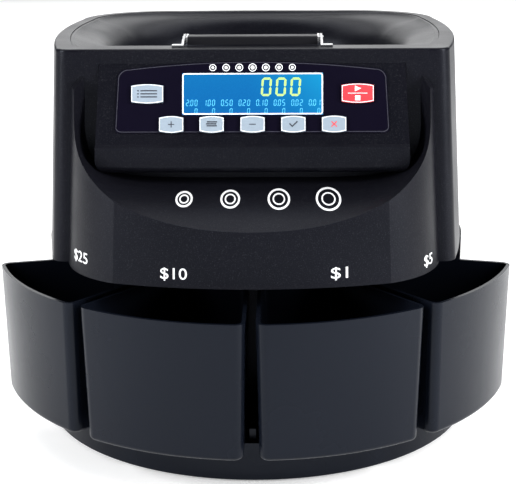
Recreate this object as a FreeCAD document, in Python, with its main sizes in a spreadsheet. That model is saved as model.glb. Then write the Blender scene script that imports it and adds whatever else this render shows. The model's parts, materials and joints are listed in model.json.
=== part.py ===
import FreeCAD, Part
import math
import os

from FreeCAD import Placement, Rotation, Vector

# Coin sorting machine, in millimetres. +Z is up and -Y is the front. The design is laid out about the
# axis of the ring of coin cups, and every sub-part is then moved back by centre_shift, so that the
# origin lies under the middle of the whole machine, on the surface it stands on.

DIMENSIONS = {
    "centre_shift": 10.6,
    # round base
    "drum_radius": 147.2,
    "drum_bottom": 1.5,
    "drum_top": 26.0,
    "wall": 3.0,
    "foot_radius": 9.0,
    "foot_height": 2.0,
    "foot_spread": 92.0,
    "base_plate_thickness": 2.5,
    "guide_rib_width": 4.0,
    "guide_rib_rise": 7.0,
    "guide_rib_end": 141.0,
    # pedestal behind the cups
    "column_radius": 80.0,
    "pedestal_radius": 142.5,
    "pedestal_opening": 77.5,
    "pedestal_hole": 60.0,
    # coin cups
    "cup_rim": 113.0,
    "cup_bottom": 26.6,
    "cup_outer_radius": 177.5,
    "cup_inner_radius": 85.0,
    "cup_pitch": 37.6,
    "cup_gap": 3.0,
    "cup_draft": 1.6,
    "cup_wall": 2.2,
    "cup_corner": 6.5,
    "cup_bottom_fillet": 3.0,
    # casing
    "body_bottom": 126.0,
    "body_top": 261.0,
    "body_draft": 3.4,
    "front_half_width": 121.5,
    "side_half_width": 134.0,
    "rear_half_width": 130.0,
    "front_wall": -90.0,
    "back_wall": 153.2,
    "front_corner": 9.0,
    "rim_band": 9.0,
    "rim_front": -72.0,
    "rim_thickness": 3.4,
    "rim_round": 1.6,
    "chin_half_width": 118.0,
    "chin_front": -150.0,
    "scoop_centre": 245.0,
    "floor_thickness": 3.0,
    "outlet_radius": 112.0,
    "outlet_size": 36.0,
    "rear_recess_floor": 148.0,
    # tilted control panel
    "panel_tilt": 16.8,
    "panel_y": -95.96,
    "panel_z": 231.5,
    "panel_wall": 2.5,
    "overlay_thickness": 0.6,
    "key_travel": 0.8,
    "key_rise": 1.9,
    "key_play": 0.4,
    "switch_height": 2.4,
    "board_thickness": 1.6,
    "display_width": 86.0,
    "display_height": 25.4,
    "display_centre": 2.8,
    # sorting mechanism
    "disc_y": 28.0,
    "disc_radius": 92.0,
    "disc_bottom": 184.0,
    "disc_thickness": 5.0,
    "fin_height": 3.0,
    "plate_bottom": 180.0,
    "plate_thickness": 3.0,
    "plate_radius": 100.0,
    "plate_ring": 95.0,
    "plate_ring_top": 190.0,
    "slot_radius": 78.0,
    "hopper_bottom": 190.3,
    "hopper_throat": 94.0,
    "shaft_radius": 5.0,
    "running_clearance": 0.05,
    "bearing_radius": 11.0,
    "bearing_height": 7.0,
    "gear_module": 1.5,
    "gear_teeth": 48,
    "pinion_teeth": 16,
    "gear_bottom": 160.0,
    "gear_face_width": 8.0,
    "motor_radius": 18.5,
    "motor_bottom": 131.0,
    "motor_top": 156.0,
    "bracket_sheet": 2.0,
    # lift-up bar over the front of the hopper
    "bar_width": 81.0,
    "bar_depth": 12.0,
    "bar_height": 5.2,
    "bar_pin_radius": 1.5,
    "bar_pin_y": -57.5,
    "bar_pin_z": 263.6,
}

doc = FreeCAD.newDocument("CoinSorter")
sheet = doc.addObject("Spreadsheet::Sheet", "Dims")
for row, (alias, value) in enumerate(DIMENSIONS.items(), start=1):
    sheet.set(f"A{row}", alias)
    sheet.set(f"B{row}", str(value))
    sheet.setAlias(f"B{row}", alias)
doc.recompute()

subparts = []


def dim(alias):
    """A driving dimension, read back from the sheet."""
    return float(sheet.get(alias))


def cell(alias):
    """The same dimension as a formula, for a binding."""
    return f"Dims.{alias}"


def subpart(piece, label):
    """Name a finished sub-part and move it back by centre_shift, on top of its own place."""
    piece.Label = label
    formulas = [text for path, text in piece.ExpressionEngine if path.endswith("Placement.Base.y")]
    own = f"({formulas[0]}) + " if formulas else ""
    piece.setExpression("Placement.Base.y", own + cell("centre_shift"))
    subparts.append(piece)
    return piece


def shaped(label, shape):
    """A sub-part whose outline only Part's own functions can make."""
    piece = doc.addObject("Part::Feature", label)
    turned = shape.Placement.toMatrix()
    settled = shape.copy()
    settled.Placement = Placement()
    piece.Shape = settled.transformed(turned, True)
    return subpart(piece, label)


def place(piece, x, y, z, turn=None):
    """Bind a piece's place to formulas; turn is its rotation."""
    if turn is not None:
        piece.Placement = Placement(Vector(), turn)
    for axis, formula in zip("xyz", (x, y, z)):
        piece.setExpression(f"Placement.Base.{axis}", str(formula))
    return piece


def cylinder(name, radius, height, x=0, y=0, z=0, turn=None):
    piece = doc.addObject("Part::Cylinder", name)
    piece.setExpression("Radius", str(radius))
    piece.setExpression("Height", str(height))
    return place(piece, x, y, z, turn)


def block(name, size, centre, bottom, turn=None):
    """A box by its three sizes, the middle of its footprint and its lowest level."""
    piece = doc.addObject("Part::Box", name)
    for side, formula in zip(("Length", "Width", "Height"), size):
        piece.setExpression(side, str(formula))
    corner = [f"({middle}) - ({full}) / 2" for middle, full in zip(centre, size)]
    return place(piece, corner[0], corner[1], bottom, turn)


def fuse(name, pieces):
    result = doc.addObject("Part::MultiFuse", name)
    result.Shapes = list(pieces)
    return result


def group(name, pieces):
    """Several separate solids of one kind in one node."""
    result = doc.addObject("Part::Compound", name)
    result.Links = list(pieces)
    return result


def cut(name, base, tools):
    tools = list(tools)
    result = doc.addObject("Part::Cut", name)
    result.Base = base
    result.Tool = tools[0] if len(tools) == 1 else fuse(name + "_tools", tools)
    return result


def polar(radius, degrees):
    """A plan point at an angle measured from the front, positive towards +X."""
    angle = math.radians(degrees)
    return radius * math.sin(angle), -radius * math.cos(angle)


def loop(points, level):
    """A closed wire in plan. Even points are corners; odd ones are the middle of an arc, or None."""
    edges = []
    for start in range(0, len(points), 2):
        first = Vector(*points[start], level)
        last = Vector(*points[(start + 2) % len(points)], level)
        if points[start + 1] is None:
            edges.append(Part.LineSegment(first, last).toShape())
        else:
            middle = Vector(*points[start + 1], level)
            edges.append(Part.Arc(first, middle, last).toShape())
    return Part.Wire(edges)


def prism(points, bottom, top):
    return Part.Face(loop(points, bottom)).extrude(Vector(0, 0, top - bottom))


def loft(wires, ruled=True):
    return Part.makeLoft(wires, True, ruled)


# ---- sketched bodies ------------------------------------------------------------------------------


def sketch_on(body, role):
    """A sketch attached to one of the body's own origin planes."""
    plane = [item for item in body.Origin.OriginFeatures if item.Role == role][0]
    sketch = body.newObject("Sketcher::SketchObject", body.Name + "_sketch")
    sketch.AttachmentSupport = [(plane, "")]
    sketch.MapMode = "FlatFace"
    return sketch


def draw(sketch, points):
    """Lines and arcs through a closed list of points, as in loop."""
    for edge in loop(points, 0).Edges:
        ends = [vertex.Point for vertex in edge.Vertexes]
        if edge.Curve.TypeId == "Part::GeomLine":
            sketch.addGeometry(Part.LineSegment(ends[0], ends[1]))
        else:
            middle = edge.valueAt((edge.FirstParameter + edge.LastParameter) / 2)
            sketch.addGeometry(Part.Arc(ends[0], middle, ends[1]))


def rectangle(width, height, x=0.0, y=0.0):
    right, left = x + width / 2, x - width / 2
    top, bottom = y + height / 2, y - height / 2
    return [(left, bottom), None, (right, bottom), None, (right, top), None, (left, top), None]


def pad(body, points, thickness, start="0", role="XY_Plane"):
    """A pad of a closed outline, raised by the formula start from its plane."""
    sketch = sketch_on(body, role)
    draw(sketch, points)
    sketch.setExpression("AttachmentOffset.Base.z", str(start))
    feature = body.newObject("PartDesign::Pad", body.Name + "_pad")
    feature.Profile = sketch
    feature.setExpression("Length", str(thickness))
    return feature


def pocket(body, outlines, start, depth):
    """A pocket that cuts down from the level start through depth."""
    sketch = sketch_on(body, "XY_Plane")
    for points in outlines:
        draw(sketch, points)
    sketch.setExpression("AttachmentOffset.Base.z", str(start))
    feature = body.newObject("PartDesign::Pocket", body.Name + "_pocket")
    feature.Profile = sketch
    feature.setExpression("Length", str(depth))
    return feature


def revolve(body, profile):
    """A full turn about Z of a closed profile of (radius, level) points."""
    sketch = sketch_on(body, "XZ_Plane")
    draw(sketch, profile)
    feature = body.newObject("PartDesign::Revolution", body.Name + "_turned")
    feature.Profile = sketch
    feature.ReferenceAxis = (sketch, ["V_Axis"])
    feature.Angle = 360
    return feature


def circle(radius, x=0.0, y=0.0):
    """A circle as four arcs."""
    points = []
    for step in range(8):
        angle = math.radians(45 * step)
        points.append((x + radius * math.cos(angle), y + radius * math.sin(angle)))
    return points


# ---- round base -----------------------------------------------------------------------------------

SCREW_SPREAD = 66.0
SHANK_RADIUS = 1.5
SHANK_HOLE = 1.8
PILOT_HOLE = 1.6
HEAD_RADIUS = 3.6
HEAD_HEIGHT = 1.2
CORNERS = ((-1, -1), (1, -1), (1, 1), (-1, 1))
FOOT_NAMES = ("foot_front_left", "foot_front_right", "foot_rear_right", "foot_rear_left")
CUP_ANGLES = (-1.5, -0.5, 0.5, 1.5)
RIB_STEPS = (-2, -1, 0, 1, 2)


def make_feet():
    """Four rubber feet, each a pad with a stem pressed up through the base plate."""
    for name, (side, end) in zip(FOOT_NAMES, CORNERS):
        foot = doc.addObject("PartDesign::Body", name)
        height = dim("foot_height")
        stem_top = height + dim("base_plate_thickness")
        edge = dim("foot_radius")
        profile = [(0, 0), None, (edge - 1, 0), None, (edge, 1), None, (edge, height), None,
                   (3, height), None, (3, stem_top), None, (0, stem_top), None]
        revolve(foot, profile)
        place(foot, f"{side} * Dims.foot_spread", f"{end} * Dims.foot_spread", 0)
        subpart(foot, name)


def make_base_plate():
    """The round cover under the base, with holes for the feet and the four case screws."""
    plate = doc.addObject("PartDesign::Body", "base_plate")
    radius = dim("drum_radius") - dim("wall") - 0.3
    pad(plate, circle(radius), cell("base_plate_thickness"), cell("foot_height"))
    holes = []
    for side, end in CORNERS:
        holes.append(circle(3.05, side * dim("foot_spread"), end * dim("foot_spread")))
        holes.append(circle(SHANK_HOLE, side * SCREW_SPREAD, end * SCREW_SPREAD))
    pocket(plate, holes, "Dims.foot_height + Dims.base_plate_thickness + 1", "Dims.base_plate_thickness + 2")
    subpart(plate, "base_plate")


def make_base_drum():
    """The round base: a shallow drum, guide ribs between the cups and four screw posts under its top."""
    outer = cylinder("drum_outer", cell("drum_radius"), "Dims.drum_top - Dims.drum_bottom", 0, 0,
                     cell("drum_bottom"))
    inner = cylinder("drum_inner", "Dims.drum_radius - Dims.wall", "Dims.drum_top - Dims.wall", 0, 0, 0)
    ribs = []
    for step in RIB_STEPS:
        rib = doc.addObject("Part::Box", f"guide_rib_{step + 3}")
        rib.setExpression("Length", "Dims.guide_rib_end - Dims.column_radius - 2")
        rib.setExpression("Width", cell("guide_rib_width"))
        rib.setExpression("Height", "Dims.guide_rib_rise + 1")
        direction = step * dim("cup_pitch")
        turn = Rotation(Vector(0, 0, 1), direction - 90)
        start = Vector(dim("column_radius") + 2, -dim("guide_rib_width") / 2, 0)
        base = turn.multVec(start)
        place(rib, base.x, base.y, "Dims.drum_top - 1", turn)
        ribs.append(rib)
    posts = []
    holes = []
    plate_top = "Dims.foot_height + Dims.base_plate_thickness"
    for number, (side, end) in enumerate(CORNERS):
        spot = (side * SCREW_SPREAD, end * SCREW_SPREAD)
        rise = f"Dims.drum_top - 1 - ({plate_top})"
        posts.append(cylinder(f"drum_post_{number}", 5, rise, *spot, plate_top))
        holes.append(cylinder(f"drum_pilot_{number}", PILOT_HOLE, 15, *spot, plate_top))
    shell = cut("drum_shell", outer, [inner])
    solid = fuse("drum_solid", [shell] + ribs + posts)
    subpart(cut("base_drum", solid, holes), "base_drum")


def make_pedestal():
    """The hollow stand behind and between the cups, which carries the upper casing."""
    height = "Dims.body_bottom - Dims.drum_top"
    span = "360 - 2 * Dims.pedestal_opening"
    turn = Rotation(Vector(0, 0, 1), dim("pedestal_opening") - 90)
    level = cell("drum_top")
    column = cylinder("column_outer", cell("column_radius"), height, 0, 0, level)
    rear = cylinder("rear_outer", cell("pedestal_radius"), height, 0, 0, level, turn)
    rear.setExpression("Angle", span)
    inner_height = "Dims.body_bottom - Dims.drum_top - Dims.wall"
    column_void = cylinder("column_void", "Dims.column_radius - Dims.wall", inner_height, 0, 0, level)
    round_void = cylinder("rear_round_void", "Dims.pedestal_radius - Dims.wall", inner_height, 0, 0, level)
    wedge = cylinder("rear_wedge_void", "Dims.pedestal_radius + 60", inner_height, 0,
                     "Dims.wall / sin(Dims.pedestal_opening * 1 deg)", level, turn)
    wedge.setExpression("Angle", span)
    rear_void = doc.addObject("Part::Common", "rear_void")
    rear_void.Base = round_void
    rear_void.Tool = wedge
    top_hole = cylinder("pedestal_top_hole", cell("pedestal_hole"), 20, 0, 0, "Dims.body_bottom - 10")
    tools = [column_void, rear_void, top_hole]
    for number, spot in enumerate(body_screw_spots()):
        start = "Dims.body_bottom - 10"
        tools.append(cylinder(f"pedestal_screw_hole_{number}", SHANK_HOLE, 20, *spot, start))
    subpart(cut("pedestal", fuse("pedestal_outer", [column, rear]), tools), "pedestal")


# ---- coin cups ------------------------------------------------------------------------------------


def cup_outline(inset, radius_out, radius_in, gap):
    """A wedge between two circles, whose sides stay a fixed gap from the lines between the cups."""
    half = math.radians(dim("cup_pitch") / 2)
    corner = max(dim("cup_corner") - inset, 2.0)
    outer = radius_out - inset
    inner = radius_in + inset
    side_gap = gap + inset

    def on_side(radius):
        angle = half - math.asin(side_gap / radius)
        return Vector(radius * math.sin(angle), -radius * math.cos(angle), 0)

    def on_arc(radius, back):
        angle = half - math.asin(side_gap / radius) - back / radius
        return Vector(radius * math.sin(angle), -radius * math.cos(angle), 0)

    def rounded(radius, direction):
        tip = on_side(radius)
        along = on_side(radius - direction * corner)
        across = on_arc(radius, corner)
        middle = tip + (along - tip + across - tip) * 0.293
        return along, middle, across

    front_along, front_middle, front_across = rounded(outer, 1)
    rear_along, rear_middle, rear_across = rounded(inner, -1)
    right = [rear_across, rear_middle, rear_along, None, front_along, front_middle, front_across]
    right = [None if point is None else (point.x, point.y) for point in right]
    return mirrored_with_arcs(right, (0, -outer), (0, -inner))


def mirrored_with_arcs(right, front_middle, rear_middle):
    """A closed outline from its right half, joined by an arc at each end."""
    left = [None if point is None else (-point[0], point[1]) for point in reversed(right)]
    return right + [front_middle] + left + [rear_middle]


def make_cups():
    """Four identical cups: drafted wedges with rounded corners, open at the top."""
    bottom, rim = dim("cup_bottom"), dim("cup_rim")
    draft = dim("cup_draft")
    outer_radius, inner_radius = dim("cup_outer_radius"), dim("cup_inner_radius")
    gap, wall = dim("cup_gap"), dim("cup_wall")
    low = cup_outline(0, outer_radius - draft, inner_radius + draft, gap + draft)
    high = cup_outline(0, outer_radius, inner_radius, gap)
    outside = loft([loop(low, bottom), loop(high, rim)])
    lower_edges = [edge for edge in outside.Edges if edge.BoundBox.ZMax < bottom + 0.01]
    outside = outside.makeFillet(dim("cup_bottom_fillet"), lower_edges)
    low = cup_outline(wall, outer_radius - draft, inner_radius + draft, gap + draft)
    high = cup_outline(wall, outer_radius, inner_radius, gap)
    rise = (rim - bottom) * 0.02
    inside = loft([loop(low, bottom + wall), loop(high, rim + rise)])
    cup = outside.cut(inside)
    for number, step in enumerate(CUP_ANGLES, start=1):
        turned = cup.copy()
        turned.rotate(Vector(), Vector(0, 0, 1), step * dim("cup_pitch"))
        shaped(f"coin_cup_{number}", turned)


# ---- casing ---------------------------------------------------------------------------------------

SIDE_MIDDLE_Y = 24.0
REAR_CORNER_START_Y = 90.0
REAR_CORNER_MIDDLE = (113.0, 133.5)
REAR_CORNER_END_X = 60.0
BACK_CROWN = 1.8
BACK_DRAFT_SHARE = 0.4
ARC_MIDDLE = 0.293
FRONT_BOW = 0.4


def draft_at(level):
    """How far the casing's side has spread out below its top, at a level."""
    return (dim("body_top") - level) * math.tan(math.radians(dim("body_draft")))


def casing_outline(level, inset=0.0, front=None):
    """The casing in plan: slightly barrelled sides, small front corners and large rear ones."""
    spread = draft_at(level)
    front_x = dim("front_half_width") + spread - inset
    front_y = (dim("front_wall") if front is None else front) + (inset if front is None else 0.0)
    corner = max(dim("front_corner") - inset, 2.5)
    back = dim("back_wall") + BACK_DRAFT_SHARE * spread - inset
    middle_x, middle_y = REAR_CORNER_MIDDLE
    right = [
        (front_x - corner, front_y),
        (front_x - ARC_MIDDLE * corner, front_y + ARC_MIDDLE * corner),
        (front_x, front_y + corner),
        (dim("side_half_width") + spread - inset, SIDE_MIDDLE_Y),
        (dim("rear_half_width") + spread - inset, REAR_CORNER_START_Y),
        (middle_x + 0.8 * spread - 0.75 * inset, middle_y + BACK_DRAFT_SHARE * spread - 0.68 * inset),
        (REAR_CORNER_END_X, back - BACK_CROWN),
    ]
    return mirrored_with_arcs(right, (0, back), (0, front_y - FRONT_BOW))


def chin_outline(half_width, front_y, inset=0.0):
    """The rounded bulge below the panel, in plan, back to a line inside the casing."""
    root_y = dim("front_wall") + 2.0
    side = half_width - inset
    reach = front_y + inset - root_y
    inside_y = dim("front_wall") + 10.0
    right = [
        (side, inside_y),
        None,
        (side, root_y),
        (side - 11.0 * side / dim("chin_half_width"), root_y + 0.468 * reach),
        (side - 34.0 * side / dim("chin_half_width"), root_y + 0.79 * reach),
    ]
    left = [None if point is None else (-point[0], point[1]) for point in reversed(right)]
    return right + [(0, front_y + inset)] + left + [None]


CHIN_UPPER_LEVEL = 238.0
CHIN_TOP_LEVEL = 247.0
CHIN_TOP_HALF_WIDTH = 105.5
CHIN_TOP_FRONT = -93.0


def chin_solid(bottom, inset=0.0):
    """The bulge: drafted up its height, then drawn back into the casing under the rim."""
    slope = math.tan(math.radians(dim("body_draft")))
    wires = []
    for level in (bottom, CHIN_UPPER_LEVEL):
        lean = (level - dim("body_bottom")) * slope
        outline = chin_outline(dim("chin_half_width") - lean, dim("chin_front") + lean, inset)
        wires.append(loop(outline, level))
    wires.append(loop(chin_outline(CHIN_TOP_HALF_WIDTH, CHIN_TOP_FRONT, inset), CHIN_TOP_LEVEL - inset))
    return loft(wires)


# The scoop is a cove whose sections are superellipses: (y, half width, depth below its centre, power),
# from the back wall forward.
SCOOP_SECTIONS = (
    (-90.0, 104.5, 64.0, 6.0),
    (-97.0, 107.5, 66.0, 5.0),
    (-110.0, 111.0, 69.0, 4.0),
    (-125.0, 114.8, 73.5, 3.4),
    (-140.0, 119.0, 80.0, 3.1),
    (-154.0, 122.0, 88.5, 3.0),
)
SCOOP_STEPS = 18
SCOOP_TOP = 285.0


def scoop_solid(growth=0.0):
    """The recess around the control housing, cut from the front of the bulge."""
    wires = []
    centre = dim("scoop_centre")
    for y, half_width, depth, power in SCOOP_SECTIONS:
        width = half_width + growth
        drop = depth + growth
        place_y = y + growth
        points = []
        for step in range(SCOOP_STEPS + 1):
            angle = math.pi * step / SCOOP_STEPS
            cosine, sine = math.cos(angle), math.sin(angle)
            x = -math.copysign(abs(cosine) ** (2 / power), cosine) * width
            points.append(Vector(x, place_y, centre - abs(sine) ** (2 / power) * drop))
        curve = Part.BSplineCurve()
        curve.interpolate(points)
        top_right = Vector(width, place_y, SCOOP_TOP)
        top_left = Vector(-width, place_y, SCOOP_TOP)
        edges = [curve.toShape()]
        edges.append(Part.LineSegment(points[-1], top_right).toShape())
        edges.append(Part.LineSegment(top_right, top_left).toShape())
        edges.append(Part.LineSegment(top_left, points[0]).toShape())
        wires.append(Part.Wire(edges))
    return loft(wires, ruled=False)


REAR_RECESS = (104.0, 36.0, 153.0)   # width, height, middle level
INLET_X = -24.0
SWITCH_X = 26.0
INLET_WINDOW = (27.6, 20.6)
SWITCH_WINDOW = (21.6, 15.6)


def centred_box(width, depth, height, x, y, z):
    corner = Vector(x - width / 2, y - depth / 2, z - height / 2)
    return Part.makeBox(width, depth, height, corner)


def body_screw_spots():
    return ((-132.0, 20.0), (132.0, 20.0), (58.0, 117.0), (-58.0, 117.0))


SCREW_BOSS_TOP = 150.0


def make_body_shell():
    """The upper casing: thin drafted walls, bulge, scoop, rim band and a recessed rear connector panel."""
    bottom, top, wall = dim("body_bottom"), dim("body_top"), dim("wall")
    rim_under = top - dim("rim_thickness")
    main = loft([loop(casing_outline(bottom), bottom), loop(casing_outline(top), top)])
    rim_edges = [edge for edge in main.Edges if edge.BoundBox.ZMin > top - 0.01]
    main = main.makeFillet(dim("rim_round"), rim_edges)
    outer = main.fuse(chin_solid(bottom)).cut(scoop_solid())
    below = bottom - 1
    room = loft([loop(casing_outline(below, wall), below), loop(casing_outline(rim_under, wall), rim_under)])
    room = room.fuse(chin_solid(below, wall)).cut(scoop_solid(wall))
    opening = prism(casing_outline(top, dim("rim_band"), dim("rim_front")), rim_under - 1, top + 1)
    width, height, level = REAR_RECESS
    floor_y = dim("rear_recess_floor")
    frame = centred_box(width + 2 * wall, 40, height + 2 * wall, 0, floor_y + 20 - wall, level)
    shell = outer.cut(room).fuse(outer.common(frame))
    recess = centred_box(width, 40, height, 0, floor_y + 20, level)
    inlet = centred_box(INLET_WINDOW[0], 20, INLET_WINDOW[1], INLET_X, floor_y, level)
    switch = centred_box(SWITCH_WINDOW[0], 20, SWITCH_WINDOW[1], SWITCH_X, floor_y, level)
    shell = shell.cut(opening).cut(housing_block(-PANEL_SEAM, HOUSING_BACK + 5))
    sheet_room = Part.Face(loop(overlay_outline(), -1)).makeOffset2D(OVERLAY_ROOM)
    shell = shell.cut(on_panel(sheet_room.extrude(Vector(0, 0, 3))))
    bosses = []
    for x, y in body_screw_spots():
        post = Part.makeCylinder(5.5, SCREW_BOSS_TOP - bottom - 3.3, Vector(x, y, bottom + 3.3))
        rear = abs(x) < y
        web = centred_box(3 if rear else 20, 46 if rear else 3, SCREW_BOSS_TOP - bottom - 3.3,
                          x if rear else math.copysign(abs(x) + 8, x), y + 23 if rear else y,
                          (SCREW_BOSS_TOP + bottom + 3.3) / 2)
        bosses.append(outer.common(post.fuse(web)))
    shell = shell.fuse(bosses)
    for x, y in body_screw_spots():
        shell = shell.cut(Part.makeCylinder(PILOT_HOLE, 20, Vector(x, y, bottom)))
    for x, z in panel_screw_spots():
        pilot = Part.makeCylinder(PILOT_HOLE, 2.2, Vector(x, dim("front_wall") + wall, z), Vector(0, -1, 0))
        shell = shell.cut(pilot)
    shell = shell.cut(recess).cut(inlet).cut(switch)
    shaped("body_shell", shell.removeSplitter())


def outlet_spots():
    return [polar(dim("outlet_radius"), step * dim("cup_pitch")) for step in CUP_ANGLES]


def turned_square(size, x, y, degrees, level):
    """A horizontal square wire, turned about its own middle."""
    half = size / 2
    turn = Rotation(Vector(0, 0, 1), degrees)
    corners = [Vector(-half, -half, 0), Vector(half, -half, 0), Vector(half, half, 0), Vector(-half, half, 0)]
    points = [turn.multVec(corner) + Vector(x, y, level) for corner in corners]
    return Part.makePolygon(points + points[:1])


RIBBON_WIDTH = 16.0
RIBBON_SLOT_Y = -48.0


def make_body_floor():
    """The plate that closes the casing below, with a square outlet above each cup."""
    bottom = dim("body_bottom")
    top = bottom + dim("floor_thickness")
    gap = dim("wall") + 0.4
    slope = math.tan(math.radians(dim("body_draft")))
    lean = (top - bottom) * slope
    chin = chin_outline(dim("chin_half_width") - lean, dim("chin_front") + lean, gap)
    plate = prism(casing_outline(top, gap), bottom, top).fuse(prism(chin, bottom, top))
    for (x, y), step in zip(outlet_spots(), CUP_ANGLES):
        wire = turned_square(dim("outlet_size"), x, y, step * dim("cup_pitch"), bottom - 1)
        plate = plate.cut(Part.Face(wire).extrude(Vector(0, 0, 20)))
    for x, y in body_screw_spots():
        plate = plate.cut(Part.makeCylinder(SHANK_HOLE, 20, Vector(x, y, bottom - 10)))
    plate = plate.cut(centred_box(RIBBON_WIDTH + 4, 8, 20, 0, RIBBON_SLOT_Y, bottom))
    shaped("body_floor", plate.removeSplitter())


# ---- control panel --------------------------------------------------------------------------------

HOUSING_TOP = 257.3
HOUSING_BOTTOM = 186.5
HOUSING_BACK = -78.0
HOUSING_TOP_HALF = 93.5
HOUSING_BOTTOM_HALF = 97.0
FACE_BOTTOM = 204.5
LIP_DEPTH = 1.6
LIP_ROUND = 5.0
HOUSING_CORNER = 9.0
PANEL_SEAM = 0.25
FLANGE_SHEET = 2.0
FLANGE_HALF = 103.0

# name, (u, v) on the panel, (width, height)
WIDE_KEY = (19.5, 10.0)
SMALL_KEY = (14.8, 8.4)
KEY_BULGE = 0.9
KEYS = (
    ("report_key", (-64.0, 2.8), WIDE_KEY),
    ("start_stop_key", (64.5, 2.8), WIDE_KEY),
    ("plus_key", (-49.3, -16.0), SMALL_KEY),
    ("batch_key", (-24.6, -16.0), SMALL_KEY),
    ("minus_key", (0.4, -16.0), SMALL_KEY),
    ("set_key", (25.3, -16.0), SMALL_KEY),
    ("clear_key", (50.1, -16.0), SMALL_KEY),
)


OVERLAY_RIGHT = [(81.0, -21.2), (83.1, -20.3), (84.0, -18.2), None, (82.4, 11.0), (80.9, 16.0), (75.5, 18.3)]
OVERLAY_ARCH = (0, 22.8)
OVERLAY_ROOM = 0.2


def panel_screw_spots():
    return ((-100.2, 200.0), (100.2, 200.0), (-100.2, 246.0), (100.2, 246.0))


def panel_turn():
    """The panel's own axes: x across it, y up its slope and z straight out of it."""
    return Rotation(Vector(1, 0, 0), 90 - dim("panel_tilt"))


def seat_on_panel(piece):
    """Put a piece drawn in the panel's axes onto the panel."""
    return place(piece, 0, cell("panel_y"), cell("panel_z"), panel_turn())


def face_y(level):
    """The panel face's y at a level."""
    return dim("panel_y") - (dim("panel_z") - level) * math.tan(math.radians(dim("panel_tilt")))


def barrel(width, height, x, y, growth=0.0):
    """A key's outline: straight sides, bowed top and bottom."""
    right, left = x + width / 2 + growth, x - width / 2 - growth
    top, bottom = y + height / 2 + growth, y - height / 2 - growth
    return [(left, bottom), (x, bottom - KEY_BULGE), (right, bottom), None,
            (right, top), (x, top + KEY_BULGE), (left, top), None]


def housing_block(inset, back):
    """The housing's side profile drawn across its width, with sides that spread slightly downwards."""
    top = HOUSING_TOP - inset
    bottom = HOUSING_BOTTOM + inset
    tilt = math.radians(dim("panel_tilt"))
    inward = inset / math.cos(tilt)
    lip_y = face_y(FACE_BOTTOM) - LIP_DEPTH + inset
    radius = max(LIP_ROUND - inset, 1.5)
    points = [
        Vector(0, back, top),
        Vector(0, face_y(top) + inward, top),
        Vector(0, face_y(FACE_BOTTOM) + inward, FACE_BOTTOM),
        Vector(0, lip_y, FACE_BOTTOM - LIP_DEPTH),
        Vector(0, lip_y, bottom + radius),
    ]
    edges = [Part.LineSegment(first, last).toShape() for first, last in zip(points, points[1:])]
    round_middle = Vector(0, lip_y + ARC_MIDDLE * radius, bottom + ARC_MIDDLE * radius)
    round_end = Vector(0, lip_y + radius, bottom)
    edges.append(Part.Arc(points[-1], round_middle, round_end).toShape())
    back_bottom = Vector(0, back, bottom)
    edges.append(Part.LineSegment(round_end, back_bottom).toShape())
    edges.append(Part.LineSegment(back_bottom, points[0]).toShape())
    profile = Part.Face(Part.Wire(edges))
    half = HOUSING_BOTTOM_HALF + 10
    profile.translate(Vector(-half, 0, 0))
    solid = profile.extrude(Vector(2 * half, 0, 0))
    top_half, bottom_half = HOUSING_TOP_HALF - inset, HOUSING_BOTTOM_HALF - inset
    corner = HOUSING_CORNER - inset
    shrink = (HOUSING_BOTTOM_HALF - HOUSING_TOP_HALF) * corner / (HOUSING_TOP - HOUSING_BOTTOM)
    right = [(top_half, top), None, (bottom_half - shrink, bottom + corner),
             (bottom_half - ARC_MIDDLE * corner, bottom + ARC_MIDDLE * corner),
             (bottom_half - corner, bottom)]
    left = [None if point is None else (-point[0], point[1]) for point in reversed(right)]
    sides = prism(right + [None] + left + [None], 0, 200)
    sides.rotate(Vector(), Vector(1, 0, 0), 90)
    return solid.common(sides)


def on_panel(shape):
    """A shape drawn in the panel's axes, moved onto the panel."""
    moved = shape.copy()
    moved.Placement = Placement(Vector(0, dim("panel_y"), dim("panel_z")), panel_turn())
    return moved


def overlay_outline():
    """The printed sheet's outline in the panel's axes."""
    return mirrored_with_arcs(OVERLAY_RIGHT, OVERLAY_ARCH, None)


def make_control_housing():
    """The raised box that carries the keys and display, with a fixing flange behind the casing wall."""
    wall = dim("panel_wall")
    box = housing_block(0.0, HOUSING_BACK)
    flange_y = dim("front_wall") + dim("wall")
    flange = Part.makeBox(2 * FLANGE_HALF, FLANGE_SHEET, HOUSING_TOP - 187.5,
                          Vector(-FLANGE_HALF, flange_y, 187.5))
    solid = box.fuse(flange).cut(housing_block(wall, HOUSING_BACK + 5))
    tools = []
    for name, (u, v), (width, height) in KEYS:
        tools.append(on_panel(prism(barrel(width, height, u, v, dim("key_play")), -8, 8)))
    window = rectangle(dim("display_width") + 0.4, dim("display_height") + 0.4, 0.4, dim("display_centre"))
    tools.append(on_panel(prism(window, -8, 8)))
    for x, z in panel_screw_spots():
        tools.append(Part.makeCylinder(SHANK_HOLE, 20, Vector(x, -95, z), Vector(0, 1, 0)))
    shaped("control_housing", solid.cut(tools).removeSplitter())


def make_overlay():
    """The thin printed sheet on the panel, arched along its top, with holes for keys and display."""
    overlay = doc.addObject("PartDesign::Body", "panel_overlay")
    pad(overlay, overlay_outline(), cell("overlay_thickness"), "0.02")
    holes = [barrel(width, height, u, v, dim("key_play")) for name, (u, v), (width, height) in KEYS]
    holes.append(rectangle(dim("display_width") + 0.4, dim("display_height") + 0.4, 0.4,
                           dim("display_centre")))
    pocket(overlay, holes, 5, 10)
    subpart(seat_on_panel(overlay), "panel_overlay")


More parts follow.
